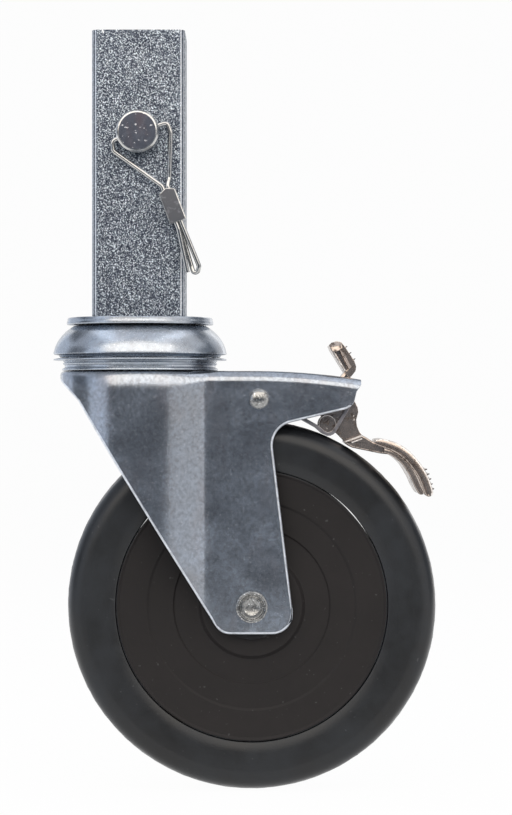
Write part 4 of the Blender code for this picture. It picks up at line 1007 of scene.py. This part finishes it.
class CASTOR_OT_fork(CastorPiece, bpy.types.Operator):
    """Pressed fork with its horn, and the saddle under the horn"""
    bl_idname = "castor.fork"
    bl_label = "Fork"

    sheet = 2.5 * MM
    leg_half = 19.5 * MM
    facet = math.radians(23.5)
    fold_radius = 1.0 * MM
    # Rounding of the crown's edge over the legs and horn, at the back of the head and over the facets
    bend = 3.8 * MM
    back_bend = 1.2 * MM
    facet_bend = 6.6 * MM
    facet_bend_width = 2.4 * MM
    horn_length = 21.3 * MM
    foot_drop = 9.4 * MM

    def execute(self, context):
        low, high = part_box("fork")
        self.head = -low.x
        self.top = high.z
        self.horn_tip = PIVOT.x + 10.95 * MM
        self.horn_start = self.horn_tip - self.horn_length
        fork = self.pressing()
        self.trim(fork)
        fork.data.materials.clear()
        paint(fork, "Zinc plate", "Cut edge")
        # The roll-over takes the pale cut-edge finish, partly a painted highlight along the fork's outer
        # edge
        round_edges(fork, self.sizes.roll_over, segments=3, wanted=self.is_outer_cut, material=1)
        round_edges(fork, 0.2 * MM, segments=2, angle=60.0)
        smooth(fork, 30)
        dress(fork, "fork", "Zinc plate", "Cut edge")
        self.refine("Zinc plate", brake_bracket="lever_saddle")
        return {"FINISHED"}

    def plan(self, inset):
        """Half of the plan edge.

        Each row gives a place, the way out, the bend's height and width, how far the place can be drawn
        in along its own way, and the way it goes beyond that.
        """
        radius = self.head - inset
        leg = self.leg_half - inset
        rows = []
        last = math.pi / 2 - self.facet
        front = self.facet_bend_width
        steps = 30
        for index in range(steps + 1):
            angle = math.pi + (last - math.pi) * index / steps
            out = Vector((math.cos(angle), math.sin(angle)))
            share = smooth_share(math.radians(168), math.radians(115), angle)
            tall = self.back_bend + (self.facet_bend - self.back_bend) * share
            wide = self.back_bend + (front - self.back_bend) * share
            rows.append((out * radius, out, tall, wide))
        tangent = rows[-1][0]
        fold = Vector((tangent.x + (tangent.y - leg) / math.tan(self.facet), leg))
        slope = Vector((math.cos(last), math.sin(last)))
        ahead = Vector((0.0, 1.0))
        corner = (slope + ahead) / (1 + slope.dot(ahead))
        soft = max(self.fold_radius - inset, 0.15 * MM)
        middle = fold - corner * soft
        first = middle + slope * soft
        for index in range(1, 6):
            share = index / 6
            turned = smooth_share(0.0, 1.0, share)
            tall = self.facet_bend + (self.bend - self.facet_bend) * turned
            rows.append((tangent.lerp(first, share), slope, tall, front + (self.bend - front) * turned))
        rows = [(*row, 1.0, row[1]) for row in rows]
        for index in range(5):
            angle = last + self.facet * index / 4
            out = Vector((math.cos(angle), math.sin(angle)))
            rows.append((middle + out * soft, out, self.bend, self.bend, soft, corner))
        start = rows[-1][0].x
        end = self.horn_tip + self.bend
        places = [(start + (self.horn_start - start) * index / 12, leg) for index in range(1, 13)]
        for index in range(1, 13):
            run = (end - self.horn_start) * index / 12
            places.append((self.horn_start + run, leg - run * 2.5 * MM / self.horn_length))
        return rows + [(Vector(at), ahead, self.bend, self.bend, 1.0, ahead) for at in places]

    def crown(self, x):
        """Height of the crown: level over the head, then falling along the horn."""
        run = max(0.0, x - AXLE.x - 0.3 * MM) / (self.horn_tip - AXLE.x - 0.3 * MM)
        return self.top - 3.0 * MM * run ** 2

    def skin(self, inset, foot):
        """One face of the sheet, from the near wall's foot over the crown to the far wall's."""
        steps = 10
        plan = self.plan(inset)
        half = []
        for index in range(steps + 1):
            turn = math.radians(90) * index / steps
            row = []
            for at, out, tall, wide, reach, beyond in plan:
                tall = max(tall - inset, 0.3 * MM)
                drawn = max(wide - inset, 0.3 * MM) * (1 - math.sin(turn))
                spot = at - out * min(drawn, reach) - beyond * max(0.0, drawn - reach)
                height = self.crown(spot.x) - inset - tall * (1 - math.cos(turn))
                row.append(Vector((spot.x, spot.y, height)))
            half.append(row)
        half.append([Vector((*row[0], foot)) for row in plan])
        near = [[Vector((spot.x, -spot.y, spot.z)) for spot in row] for row in half]
        return near[::-1] + half

    def pressing(self):
        """Outer and inner face of the sheet as one closed skin, capped at the horn."""
        foot = AXLE.z - self.foot_drop - self.bend
        outer = self.skin(0.0, foot)
        inner = self.skin(self.sheet, foot)
        return closed_skin("pressed_fork", outer + inner[::-1] + outer[:1])

    def trim(self, fork):
        """Cut the side view, the slot for the lever and the holes."""
        span = 60 * MM
        under = self.top - self.sheet
        above = self.top + self.bend
        foot = AXLE.z - self.foot_drop
        side = softened([
            (-self.head - self.bend, above, 0.0), (-self.head - self.bend, self.top - 3.4 * MM, 0.0),
            (0.4 * MM - self.head, self.top - 3.4 * MM, 0.8 * MM),
            (7.1 * MM - self.head, self.top - 10.0 * MM, 4.0 * MM),
            (AXLE.x - 10.7 * MM, foot, 6.0 * MM), (AXLE.x + 14.9 * MM, foot, 7.0 * MM),
            (AXLE.x + 6.4 * MM, under - 16.7 * MM, 8.0 * MM),
            (self.horn_tip - 3.35 * MM, under - 10.1 * MM, 4.5 * MM),
            (self.horn_tip - 2.0 * MM, under - 4.6 * MM, 1.2 * MM),
            (self.horn_tip - 0.45 * MM, under - 2.3 * MM, 0.8 * MM),
            (self.horn_tip - 0.2 * MM, above, 0.0)], step=9.0)
        combine(fork, [plate("side_trim", side, -span, span)], "INTERSECT", True)
        front, rear, half = PIVOT.x - 4.0 * MM, PIVOT.x + 7.5 * MM, 10.75 * MM
        corners = ((front, -half), (rear, -half), (rear, half), (front, half))
        slot = softened([(*corner, 1.5 * MM) for corner in corners])
        across = Vector((0, span, 0))
        below = self.top - 9 * MM
        combine(fork, [
            plate("slot", slot, below, above, "XY"),
            rod("bore", 7.5 * MM, Vector((0, 0, below)), Vector((0, 0, above))),
            rod("axle_hole", 4.9 * MM, AXLE - across, AXLE + across),
            rod("rivet_hole", 2.8 * MM, RIVET - across, RIVET + across)], "DIFFERENCE", True)
        edit(fork)
        bpy.ops.mesh.remove_doubles(threshold=0.002 * MM)
        bpy.ops.mesh.dissolve_degenerate(threshold=0.002 * MM)
        leave()

    def is_outer_cut(self, line):
        """Where the outer skin meets the sheared edge, apart from the holes and the horn's tip."""
        middle = (line.verts[0].co + line.verts[1].co) / 2
        flat = Vector((middle.x, middle.z))
        near_axle = (flat - Vector((AXLE.x, AXLE.z))).length < 6 * MM
        near_rivet = (flat - Vector((RIVET.x, RIVET.z))).length < 4 * MM
        in_crown = abs(middle.y) < 12 * MM and middle.x > -20 * MM
        at_tip = middle.x > self.horn_tip - 4.2 * MM
        if near_axle or near_rivet or in_crown or at_tip:
            return False
        side = 1 if middle.y > 0 else -1
        skins = [face.normal.y * side > 0.3 or face.normal.z > 0.6 or face.normal.x < -0.5 and middle.x < 0
                 for face in line.link_faces]
        cuts = [abs(face.normal.y) < 0.2 and face.normal.z < 0.75 for face in line.link_faces]
        return skins[0] and cuts[1] or skins[1] and cuts[0]


class CASTOR_OT_wheel(CastorPiece, bpy.types.Operator):
    """Solid tyre, moulded core and hub bush"""
    bl_idname = "castor.wheel"
    bl_label = "Wheel"

    def execute(self, context):
        tyre = spun("solid_tyre", self.tyre_outline(), self.sizes.wheel_steps, AXLE, "Y")
        self.roughen(tyre)
        core = spun("moulded_core", self.core_outline(), self.sizes.wheel_steps, AXLE, "Y")
        for piece, node, finish in ((tyre, "tyre", "Tyre rubber"), (core, "wheel_core", "Core rubber")):
            smooth(piece, 40, flats=False)
            dress(piece, node, finish)
        self.refine("Bush bronze", hub_bush="hub_lining")
        return {"FINISHED"}

    def tyre_outline(self):
        radius = (WHEEL_HIGH.z - WHEEL_LOW.z) / 2
        half = (WHEEL_HIGH.y - WHEEL_LOW.y) / 2
        bond = radius - 16.8 * MM
        side = [
            (bond, half - 1.3 * MM), (bond + 0.5 * MM, half - 0.95 * MM),
            (bond + 4.0 * MM, half - 0.5 * MM), (radius - 7.2 * MM, half)]
        shoulder = arc((radius - 7.0 * MM, half - 6.5 * MM), 6.5 * MM, 84, 8, 14)
        crown = [
            (radius - 0.25 * MM, half * 0.55), (radius - 0.05 * MM, half * 0.28), (radius, half * 0.08)]
        return both_ends(side + shoulder + crown)

    def roughen(self, tyre):
        """Worn flash and scuffs on the tread, none on the sides."""
        radius = (WHEEL_HIGH.z - WHEEL_LOW.z) / 2
        for vertex in tyre.data.vertices:
            out = Vector((vertex.co.x - AXLE.x, 0.0, vertex.co.z - AXLE.z))
            share = max(0.0, (out.length - (radius - 2.5 * MM)) / (2.5 * MM))
            rough = noise.noise(vertex.co * 900.0) * 0.6 + noise.noise(vertex.co * 300.0) * 0.4
            vertex.co -= out.normalized() * self.sizes.flash * share * (0.6 + rough)

    def core_outline(self):
        half = 15.875 * MM
        steps = [
            (9.3, -1.30, 0.2), (17.1, -1.28, 0.5), (18.3, -3.0, 0.5), (26.5, -3.25, 0.3),
            (27.0, -2.8, 0.3), (35.2, -2.75, 0.3), (36.0, -2.3, 0.3), (45.1, -2.0, 0.3),
            (45.9, -1.45, 0.3), (46.4, -1.75, 0.1)]
        face = [(radius * MM, half + rise * MM, soft * MM) for radius, rise, soft in steps]
        return softened(face + [(radius, -height, soft) for radius, height, soft in face[::-1]])


class CASTOR_OT_axle(CastorPiece, bpy.types.Operator):
    """Axle with its sleeve and washers, the anchor rivet and the lever's pin"""
    bl_idname = "castor.axle"
    bl_label = "Axle and rivets"

    def execute(self, context):
        for node, name, outline, centre, angle in (
                ("axle", "riveted_axle", self.axle_outline(), AXLE, 30),
                ("anchor_rivet", "shoe_rivet", self.rivet_outline(), RIVET, 40)):
            piece = spun(name, outline, 64, centre, "Y")
            smooth(piece, angle, flats=False)
            dress(piece, node, "Riveted steel")
        self.refine("Bright steel", lever_pivot_pin="pivot_pin", axle_sleeve="spacer_sleeve")
        self.refine("Washer steel", hub_washer_near="washer_near", hub_washer_far="washer_far")
        return {"FINISHED"}

    def axle_outline(self):
        """Both riveted ends: a rolled ring, a groove and a disc with a conical dimple."""
        end = AXLE_HIGH.y
        head = (AXLE_HIGH.x - AXLE_LOW.x) / 2
        steps = [
            (4.35, -0.05, 0.15), (4.0, -0.55, 0.15), (3.6, -0.5, 0.1), (3.35, -0.02, 0.15),
            (2.6, -0.05, 0.1)]
        half = softened(
            [(4.6 * MM, end - 1.8 * MM, 0.0)]
            + from_mm(head, end, [(0.0, -1.8, 0.2), (0.0, -0.35, 0.3), (0.45, 0.0, 0.2)])
            + [(radius * MM, end + rise * MM, soft * MM) for radius, rise, soft in steps])
        half.append((0.0, end - 1.35 * MM))
        return both_ends(half)[::-1]

    def rivet_outline(self):
        end = RIVET_HIGH.y
        head = (RIVET_HIGH.x - RIVET_LOW.x) / 2
        face = end - 2.2 * MM
        half = [(2.5 * MM, face), (head - 0.1 * MM, face), (head, face + 0.15 * MM)]
        for index in range(1, 12):
            turn = math.radians(90 * index / 12)
            half.append((head * math.cos(turn), face + 0.15 * MM + 2.05 * MM * math.sin(turn)))
        half.append((0.0, end))
        return both_ends(half)[::-1]


class CASTOR_OT_brake_lever(CastorPiece, bpy.types.Operator):
    """Cam lever with its heel and toe pads"""
    bl_idname = "castor.brake_lever"
    bl_label = "Brake lever"

    finishes = ("Brown nickel", "Pale nickel painted highlight")
    # Side views in millimetres from the pivot
    cheek = [
        (3.1, 6.9, 0.5), (6.8, 6.9, 0.5), (6.4, 4.0, 1.0), (8.3, 0.2, 1.5), (9.5, -2.2, 1.2),
        (9.8, -3.9, 1.0), (9.1, -6.6, 1.0), (9.3, -8.7, 1.0), (10.1, -10.6, 0.8),
        (11.1, -11.9, 0.3), (9.6, -13.6, 0.4), (5.4, -14.2, 0.4), (4.1, -12.9, 0.3),
        (2.5, -11.3, 0.6), (-1.6, -8.4, 1.5), (-3.6, -3.5, 1.5), (-4.2, 0.0, 2.5), (-2.6, 4.2, 1.5)]
    web = [
        (7.3, 9.2), (6.6, 7.0), (6.4, 3.9), (8.2, 0.0), (9.4, -2.4), (9.6, -3.9), (9.0, -6.4),
        (9.2, -8.8), (10.7, -12.0)]
    heel = [
        (-0.4, 19.0, 0.2), (0.5, 19.9, 0.5), (2.2, 20.4, 0.8), (3.8, 20.1, 0.8), (4.8, 19.0, 0.8),
        (8.4, 13.6, 1.5), (9.0, 11.7, 1.2), (8.8, 10.2, 0.8), (7.6, 8.7, 0.8), (6.7, 7.9, 0.3),
        (5.7, 8.7, 0.3), (5.0, 9.9, 0.2), (0.2, 17.6, 0.2)]
    hollow = [(1.7, 16.8, 0.2), (3.2, 17.4, 0.2), (6.4, 10.8, 0.3), (5.5, 10.1, 0.2)]
    wall = [(0.5, 17.5, 0.1), (1.15, 17.2, 0.1), (5.5, 10.3, 0.1), (5.0, 10.0, 0.1)]
    rib = [(3.3, 17.4, 0.2), (4.7, 17.9, 0.2), (7.7, 11.7, 0.3), (6.5, 10.7, 0.2)]
    cap = [
        (-0.3, 19.0, 0.2), (0.5, 19.8, 0.4), (2.2, 20.3, 0.6), (3.7, 19.9, 0.4), (4.1, 18.9, 0.1),
        (-0.1, 18.3, 0.0)]
    lip = [(-0.1, 18.35, 0.1), (1.0, 16.8, 0.1), (2.8, 17.1, 0.2), (4.2, 18.0, 0.2), (4.1, 18.95, 0.0)]
    neck_near = [(4.9, 9.8, 0.1), (6.5, 10.4, 0.2), (3.9, 6.8, 0.1), (2.6, 6.8, 0.1)]
    neck_far = [(7.0, 9.6, 0.1), (7.8, 9.0, 0.2), (6.2, 6.8, 0.1), (5.1, 6.8, 0.1)]
    root = [
        (4.9, -13.9), (7.9, -12.9), (10.9, -11.8), (12.3, -12.5), (13.7, -13.4), (14.9, -14.1),
        (17.1, -15.0), (21.2, -16.9), (22.6, -18.4), (19.9, -18.4), (17.1, -18.1), (13.7, -17.4),
        (10.3, -16.7), (7.5, -16.1), (5.9, -15.2), (4.9, -14.4)]
    root_line = [(4.9, -13.95), (5.0, -14.3), (10.95, -12.2), (10.9, -11.75)]
    root_edge = [(7.3, -14.15), (7.4, -14.55), (11.0, -13.2), (10.9, -12.8)]
    # Centre lines of the toe pad's beads, with half their thickness
    upper_bead = [
        (15.5, -14.1, 0.75), (16.9, -14.3, 1.25), (18.8, -14.75, 1.5), (22.4, -16.1, 1.6),
        (26.05, -18.6, 1.6), (29.0, -21.9, 1.6), (31.4, -25.5, 1.6), (33.0, -29.4, 1.6),
        (33.6, -31.3, 1.5)]
    lower_bead = [
        (18.4, -17.0, 0.8), (21.7, -17.9, 1.2), (24.8, -20.3, 1.25), (26.9, -23.0, 1.25),
        (28.7, -26.2, 1.25), (29.9, -28.9, 1.25), (31.0, -31.0, 1.15)]
    toe_teeth = [(32.5, -23.7), (33.3, -25.3), (33.9, -27.0), (34.4, -28.7), (34.9, -30.4)]
    heel_teeth = [(5.3, 18.3), (6.7, 16.2), (8.1, 14.1)]

    def execute(self, context):
        lever = joined(self.cheeks() + self.lobes() + self.heel_pad() + self.toe_pad() + self.teeth())
        lever.name = lever.data.name = "cam_lever"
        smooth(lever, 32)
        dress(lever, "brake_lever", *self.finishes)
        return {"FINISHED"}

    def spot(self, x, y, z):
        return PIVOT + Vector((x, y, z)) * MM

    def form(self, name, outline, half, edge=0.0, lift=None, finish=0, start=None):
        """A shape of the side view, drawn out to both sides, its long edges rolled and its ends leaned."""
        if len(outline[0]) == 3:
            placed = softened([
                (PIVOT.x + x * MM, PIVOT.z + z * MM, soft * MM) for x, z, soft in outline], 20.0)
        else:
            placed = [(PIVOT.x + x * MM, PIVOT.z + z * MM) for x, z in outline]
        low = -half * MM if start is None else start * MM
        piece = plate(name, placed, low, half * MM)
        if lift:
            for vertex in piece.data.vertices:
                x, z = (vertex.co.x - PIVOT.x) / MM, (vertex.co.z - PIVOT.z) / MM
                vertex.co.y += math.copysign(max(0.0, lift(x, z)) * MM, vertex.co.y)
        if edge:
            round_edges(piece, edge * MM, angle=60.0, segments=3 if edge > 0.5 else 2)
        return self.finished(piece, finish)

    def finished(self, piece, finish):
        """Give a form both finishes and put all its faces in one of them."""
        piece.data.materials.clear()
        paint(piece, *self.finishes)
        for face in piece.data.polygons:
            face.material_index = finish
        return piece

    def cheeks(self):
        """Two side walls with the pin's holes, joined by the web at the back."""
        forms = [
            self.form("near_cheek", self.cheek, -7.0, start=-9.0),
            self.form("far_cheek", self.cheek, 9.0, start=7.0)]
        for form in forms:
            bore = rod("pin_bore", 2.45 * MM, self.spot(0.0, -20.0, 0.0), self.spot(0.0, 20.0, 0.0), 32)
            combine(form, [bore], "DIFFERENCE")
            round_edges(form, 0.2 * MM, angle=60.0)
            self.finished(form, 0)
        sheet = self.web + inset_path(self.web, 1.8)[::-1]
        return forms + [self.form("web", sheet, 7.2)]

    def lobes(self):
        """Lobes that press the strip, with their rims painted pale as a highlight, and small bumps beside
        them that carry painted glints.
        """
        forms = []
        for side in (-1, 1):
            lobe, ring, core = (
                rod(name, radius * MM, self.spot(-0.9, side * start, -8.0),
                    self.spot(-0.9, side * end, -8.0), 40)
                for name, radius, start, end in (
                    ("lobe", 3.0, 6.7, 9.6), ("ring", 3.0, 9.2, 9.7), ("core", 2.75, 9.0, 10.5)))
            round_edges(lobe, 0.3 * MM, segments=2)
            combine(ring, [core], "DIFFERENCE")
            # Each lobe's ring takes the pale nickel: a painted rim highlight
            forms += [self.finished(lobe, 0), self.finished(ring, 1)]
            for x, y, z, radius in ((-1.1, 9.6, -9.6, 0.3), (8.1, 9.0, -5.3, 0.26), (8.2, 9.0, -6.6, 0.4)):
                forms.append(self.nick(self.spot(x, side * y, z), radius * MM))
        return forms

    def nick(self, at, radius):
        """A small pale bump that stands out of the plating; its pale finish is a painted glint."""
        piece = added(
            "nick", bpy.ops.mesh.primitive_ico_sphere_add, subdivisions=2, radius=radius, location=at)
        place(piece)
        return self.finished(piece, 1)

    def heel_pad(self):
        """Folded pad over the horn: a hollow between a thin wall and a leaning rib, closed at the top."""
        pad = self.form("heel_pad", self.heel, 11.0)
        hollows = [
            self.form("near_hollow", self.hollow, -8.0, start=-14.0),
            self.form("far_hollow", self.hollow, 14.0, start=8.0)]
        combine(pad, hollows, "DIFFERENCE")
        round_edges(pad, 0.2 * MM, angle=60.0)
        self.finished(pad, 0)
        return [
            pad,
            # The thin wall is all pale nickel: a painted highlight line beside the hollow
            self.form("wall", self.wall, 11.2, 0.1, finish=1),
            self.form("rib", self.rib, 10.6, 0.15, self.rib_lean),
            self.form("cap", self.cap, 10.9, 0.1, lambda x, z: 0.70 * (20.3 - z)),
            self.form("lip", self.lip, 10.9, 0.1, lambda x, z: 0.98 + 0.30 * (18.9 - z)),
            self.form("neck_near", self.neck_near, 9.7, 0.1, lambda x, z: 0.30 * (10.4 - z)),
            self.form("neck_far", self.neck_far, 9.7, 0.1, lambda x, z: 0.30 * (9.6 - z)),
            self.form("neck", [(3.0, 6.5, 0.2), (6.6, 6.5, 0.2), (7.6, 9.4, 0.2), (5.4, 10.0, 0.2)], 9.0)]

    def rib_lean(self, x, z):
        return 1.15 - 0.95 * ((x - 3.3) * 0.88 + (z - 17.4) * 0.47)

    def toe_pad(self):
        """Two rolled beads along the pad on a widened root."""
        return [
            self.form("toe_root", self.root, 13.0, 0.6), self.bead("upper_bead", self.upper_bead, 16.0),
            self.bead("lower_bead", self.lower_bead, 15.3),
            # The root's line and edge are all pale nickel: painted highlight lines along the root
            self.form("root_line", self.root_line, 13.25, finish=1),
            self.form("root_edge", self.root_edge, 13.25, finish=1)]

    def bead(self, name, line, half):
        """A rolled bead drawn along its centre line, grooved on its ends and rounded at its tip."""
        stations = []
        for index in range(len(line) - 1):
            first, start, end, last = (
                Vector(line[max(0, min(len(line) - 1, index + shift))]) for shift in (-1, 0, 1, 2))
            for step in range(5):
                t = step / 5
                bow = (2 * first - 5 * start + 4 * end - last) * t ** 2
                sway = (3 * start - first - 3 * end + last) * t ** 3
                stations.append(0.5 * (2 * start + (end - first) * t + bow + sway))
        stations.append(Vector(line[-1]))
        run = (stations[-1] - stations[-2]).to_2d().normalized()
        thick = stations[-1].z
        for turn in (20, 40, 58, 74, 84):
            reach = thick * math.sin(math.radians(turn))
            spot = Vector(line[-1]).to_2d() + run * reach
            stations.append(Vector((spot.x, spot.y, thick * math.cos(math.radians(turn)))))
        rows = []
        for index, station in enumerate(stations):
            before = stations[max(index - 1, 0)].to_2d()
            after = stations[min(index + 1, len(stations) - 1)].to_2d()
            along = (after - before).normalized()
            out = Vector((-along.y, along.x))
            row = [self.spot(station.x + out.x * rise, y, station.y + out.y * rise)
                   for y, rise in self.section(half, station.z)]
            rows.append(row + row[:1])
        piece = self.finished(closed_skin(name, rows), 0)
        # Rolled faces turned up and to the right take the pale nickel: a painted highlight on the lit side
        # of each bead
        for face in piece.data.polygons:
            rolled = 0.5 < abs(face.normal.y) < 0.97 and face.normal.x + face.normal.z > 0
            face.material_index = 1 if rolled else 0
        return piece

    def section(self, half, thick):
        """Cross-section of a bead as (depth, height) points: rolled edges and a groove along each end."""
        soft = 0.5 * thick
        wide = half > 15.5
        drop = 1.15 if wide else 1.5
        side = []
        for turn in range(0, 91, 15):
            across, up = math.sin(math.radians(turn)), math.cos(math.radians(turn))
            side.append((
                half - 0.75 * soft + 0.75 * soft * across, thick - drop * thick + drop * thick * up))
        if wide:
            inset = half - 0.25 * thick
            side += [(inset, -0.18 * thick), (inset, -0.42 * thick), (half, -0.55 * thick)]
        for turn in (0, 30, 60, 90):
            across, up = math.cos(math.radians(turn)), math.sin(math.radians(turn))
            side.append((half - 0.6 * soft * (1 - across), -thick + 0.6 * soft * (1 - up)))
        return side + [(-depth, height) for depth, height in side[::-1]]

    def teeth(self):
        """Gripping ridges across the faces of both pads."""
        rows = [(spot, 13.0) for spot in self.toe_teeth] + [(spot, 9.6) for spot in self.heel_teeth]
        return [self.ridge(x, z, reach) for (x, z), reach in rows]

    def ridge(self, x, z, reach):
        outward = Vector((0.93, 0.36)) if z < 0 else Vector((0.84, 0.54))
        along = Vector((-outward.y, outward.x)) * 0.27
        foot = Vector((x, z)) - outward * 0.5
        crest = Vector((x, z)) + outward * 0.75
        corners = (foot + along, foot - along, crest - along * 0.5, crest + along * 0.5)
        return self.form("ridge", [tuple(corner) for corner in corners], reach)


class CASTOR_OT_brake_shoe(CastorPiece, bpy.types.Operator):
    """Brake strip between the anchor rivet and the cam"""
    bl_idname = "castor.brake_shoe"
    bl_label = "Brake strip"

    def execute(self, context):
        strip = refined("brake_shoe", "brake_strip", 0.2 * MM)
        dress(strip, "brake_shoe", "Spring steel")
        return {"FINISHED"}


class CASTOR_OT_stage(bpy.types.Operator):
    """Pale floor and backdrop, soft lights and the camera"""
    bl_idname = "castor.stage"
    bl_label = "Stage"

    def execute(self, context):
        scene = context.scene
        scene.view_settings.view_transform = "Standard"
        self.add_floor()
        self.add_world(scene)
        self.add_lights()
        self.add_camera(scene)
        return {"FINISHED"}

    def add_floor(self):
        """One sheet, laid flat and swept up behind the object."""
        floor_level = WHEEL_LOW.z - 0.3 * MM
        floor = added(
            "studio_sweep", bpy.ops.mesh.primitive_plane_add, size=4.0,
            location=(AXLE.x, 1.55, floor_level))
        edit(floor, "EDGE")
        bpy.ops.mesh.select_all(action="DESELECT")
        shape = bmesh.from_edit_mesh(floor.data)
        for line in shape.edges:
            line.select = all(vertex.co.y > 1.0 for vertex in line.verts)
        bmesh.update_edit_mesh(floor.data)
        bpy.ops.mesh.extrude_region_move(TRANSFORM_OT_translate={"value": (0.0, 0.0, 2.4)})
        leave()
        round_edges(floor, 0.8, segments=16)
        smooth(floor, 60, flats=False)
        place(floor)
        floor.data.materials.append(self.paper())

    def paper(self):
        """White paper that keeps part of the object's shadow."""
        made, tree, shader = start_material("Studio paper", (0.90, 0.90, 0.90), 0.0, 0.9)
        glow = add_node(tree, "ShaderNodeEmission", {"Color": (1.0, 1.0, 1.0), "Strength": 1.0})
        rays = add_node(tree, "ShaderNodeLightPath", {}).outputs
        shiny = calc(tree, "MAXIMUM", rays["Is Camera Ray"], rays["Is Glossy Ray"])
        seen = calc(tree, "MAXIMUM", shiny, rays["Is Transmission Ray"])
        share_seen_white = 0.975
        lit = calc(tree, "MULTIPLY", seen, share_seen_white)
        self.blend(tree, "Material Output", lit, shader, glow)
        return made

    def blend(self, tree, output, share, first, second):
        both = add_node(tree, "ShaderNodeMixShader", {0: share, 1: first.outputs[0], 2: second.outputs[0]})
        feed(tree, tree.nodes[output].inputs["Surface"], both.outputs[0])

    def add_world(self, scene):
        """A dim bluish room that the camera sees as white."""
        world = bpy.data.worlds.new("Studio")
        world.use_nodes = True
        tree = world.node_tree
        room = tree.nodes["Background"]
        feed(tree, room.inputs["Color"], (0.72, 0.83, 1.0))
        feed(tree, room.inputs["Strength"], 0.185)
        white = add_node(tree, "ShaderNodeBackground", {"Color": (1.0, 1.0, 1.0), "Strength": 1.0})
        rays = add_node(tree, "ShaderNodeLightPath", {}).outputs
        self.blend(tree, "World Output", rays["Is Camera Ray"], room, white)
        scene.world = world

    def add_lights(self):
        """A wide warm softbox over the camera, a cool one overhead and panels at the sides."""
        warm, cool = (1.0, 0.93, 0.84), (0.93, 0.95, 1.0)
        plain, blue = (1.0, 0.965, 0.94), (0.83, 0.89, 1.0)
        # Name, bearing, rise, distance, size, brightness, colour
        for row in (
                ("front_top", 0.0, 34.0, 1.15, (2.2, 0.86), 2.1, warm),
                ("overhead", 0.0, 90.0, 1.0, (1.4, 1.3), 0.80, cool),
                ("right_side", 64.0, 2.0, 0.95, (0.75, 0.9), 0.85, plain),
                ("right_back", 145.0, 8.0, 0.95, (0.6, 0.9), 0.60, plain),
                ("left_front", -61.0, 2.0, 0.95, (0.50, 0.9), 0.80, blue),
                ("right_top", 82.0, 48.0, 0.95, (0.9, 0.75), 0.62, plain),
                ("left_top", -82.0, 48.0, 0.95, (0.9, 0.75), 0.48, blue),
                ("left_back", -130.0, 4.0, 0.95, (0.75, 0.9), 0.70, blue)):
            self.add_softbox(*row)

    def add_softbox(self, name, turn, rise, away, size, glow, colour):
        """An area light of a given brightness; turn is its bearing to the right of the camera's side."""
        aim = Vector((0.02, 0.0, -0.03))
        lamp = bpy.data.lights.new(name, "AREA")
        lamp.shape = "RECTANGLE"
        lamp.size, lamp.size_y = size
        lamp.color = colour
        lamp.energy = glow * math.pi * size[0] * size[1]
        holder = bpy.data.objects.new(name, lamp)
        bearing = math.radians(turn)
        height = math.radians(rise)
        level = math.cos(height)
        out = Vector((math.sin(bearing) * level, -math.cos(bearing) * level, math.sin(height)))
        holder.location = aim + out * away
        holder.rotation_euler = (-out).to_track_quat("-Z", "Y").to_euler()
        bpy.context.scene.collection.objects.link(holder)

    def add_camera(self, scene):
        camera = bpy.data.cameras.new("photo_view")
        camera.lens = CAMERA_LENS
        camera.sensor_width = CAMERA_SENSOR
        camera.clip_end = 50.0
        holder = bpy.data.objects.new("photo_view", camera)
        holder.location = CAMERA_AT
        holder.rotation_euler = (math.radians(90), 0.0, 0.0)
        scene.collection.objects.link(holder)
        scene.camera = holder


PIECES = (
    CASTOR_OT_stem, CASTOR_OT_locking_pin, CASTOR_OT_pull_wire, CASTOR_OT_swivel_head, CASTOR_OT_balls,
    CASTOR_OT_fork, CASTOR_OT_wheel, CASTOR_OT_axle, CASTOR_OT_brake_lever, CASTOR_OT_brake_shoe,
    CASTOR_OT_stage)


class CASTOR_PT_panel(bpy.types.Panel):
    """Lists the castor's pieces and settings in the sidebar"""
    bl_label = "Scaffold Castor"
    bl_idname = "CASTOR_PT_panel"
    bl_space_type = "VIEW_3D"
    bl_region_type = "UI"
    bl_category = "Castor"

    def draw(self, context):
        for group in (context.scene.castor_sizes, context.scene.castor_colours):
            for name in group.__annotations__:
                self.layout.prop(group, name)
        for piece in PIECES:
            self.layout.operator(piece.bl_idname)


CLASSES = (CastorSizes, CastorColours) + PIECES + (CASTOR_PT_panel,)


def register():
    for item in CLASSES:
        bpy.utils.register_class(item)
    bpy.types.Scene.castor_sizes = PointerProperty(type=CastorSizes)
    bpy.types.Scene.castor_colours = PointerProperty(type=CastorColours)


def unregister():
    del bpy.types.Scene.castor_sizes
    del bpy.types.Scene.castor_colours
    for item in reversed(CLASSES):
        bpy.utils.unregister_class(item)


def main():
    register()
    for piece in PIECES:
        family, name = piece.bl_idname.split(".")
        getattr(getattr(bpy.ops, family), name)()


if __name__ == "__main__":
    main()
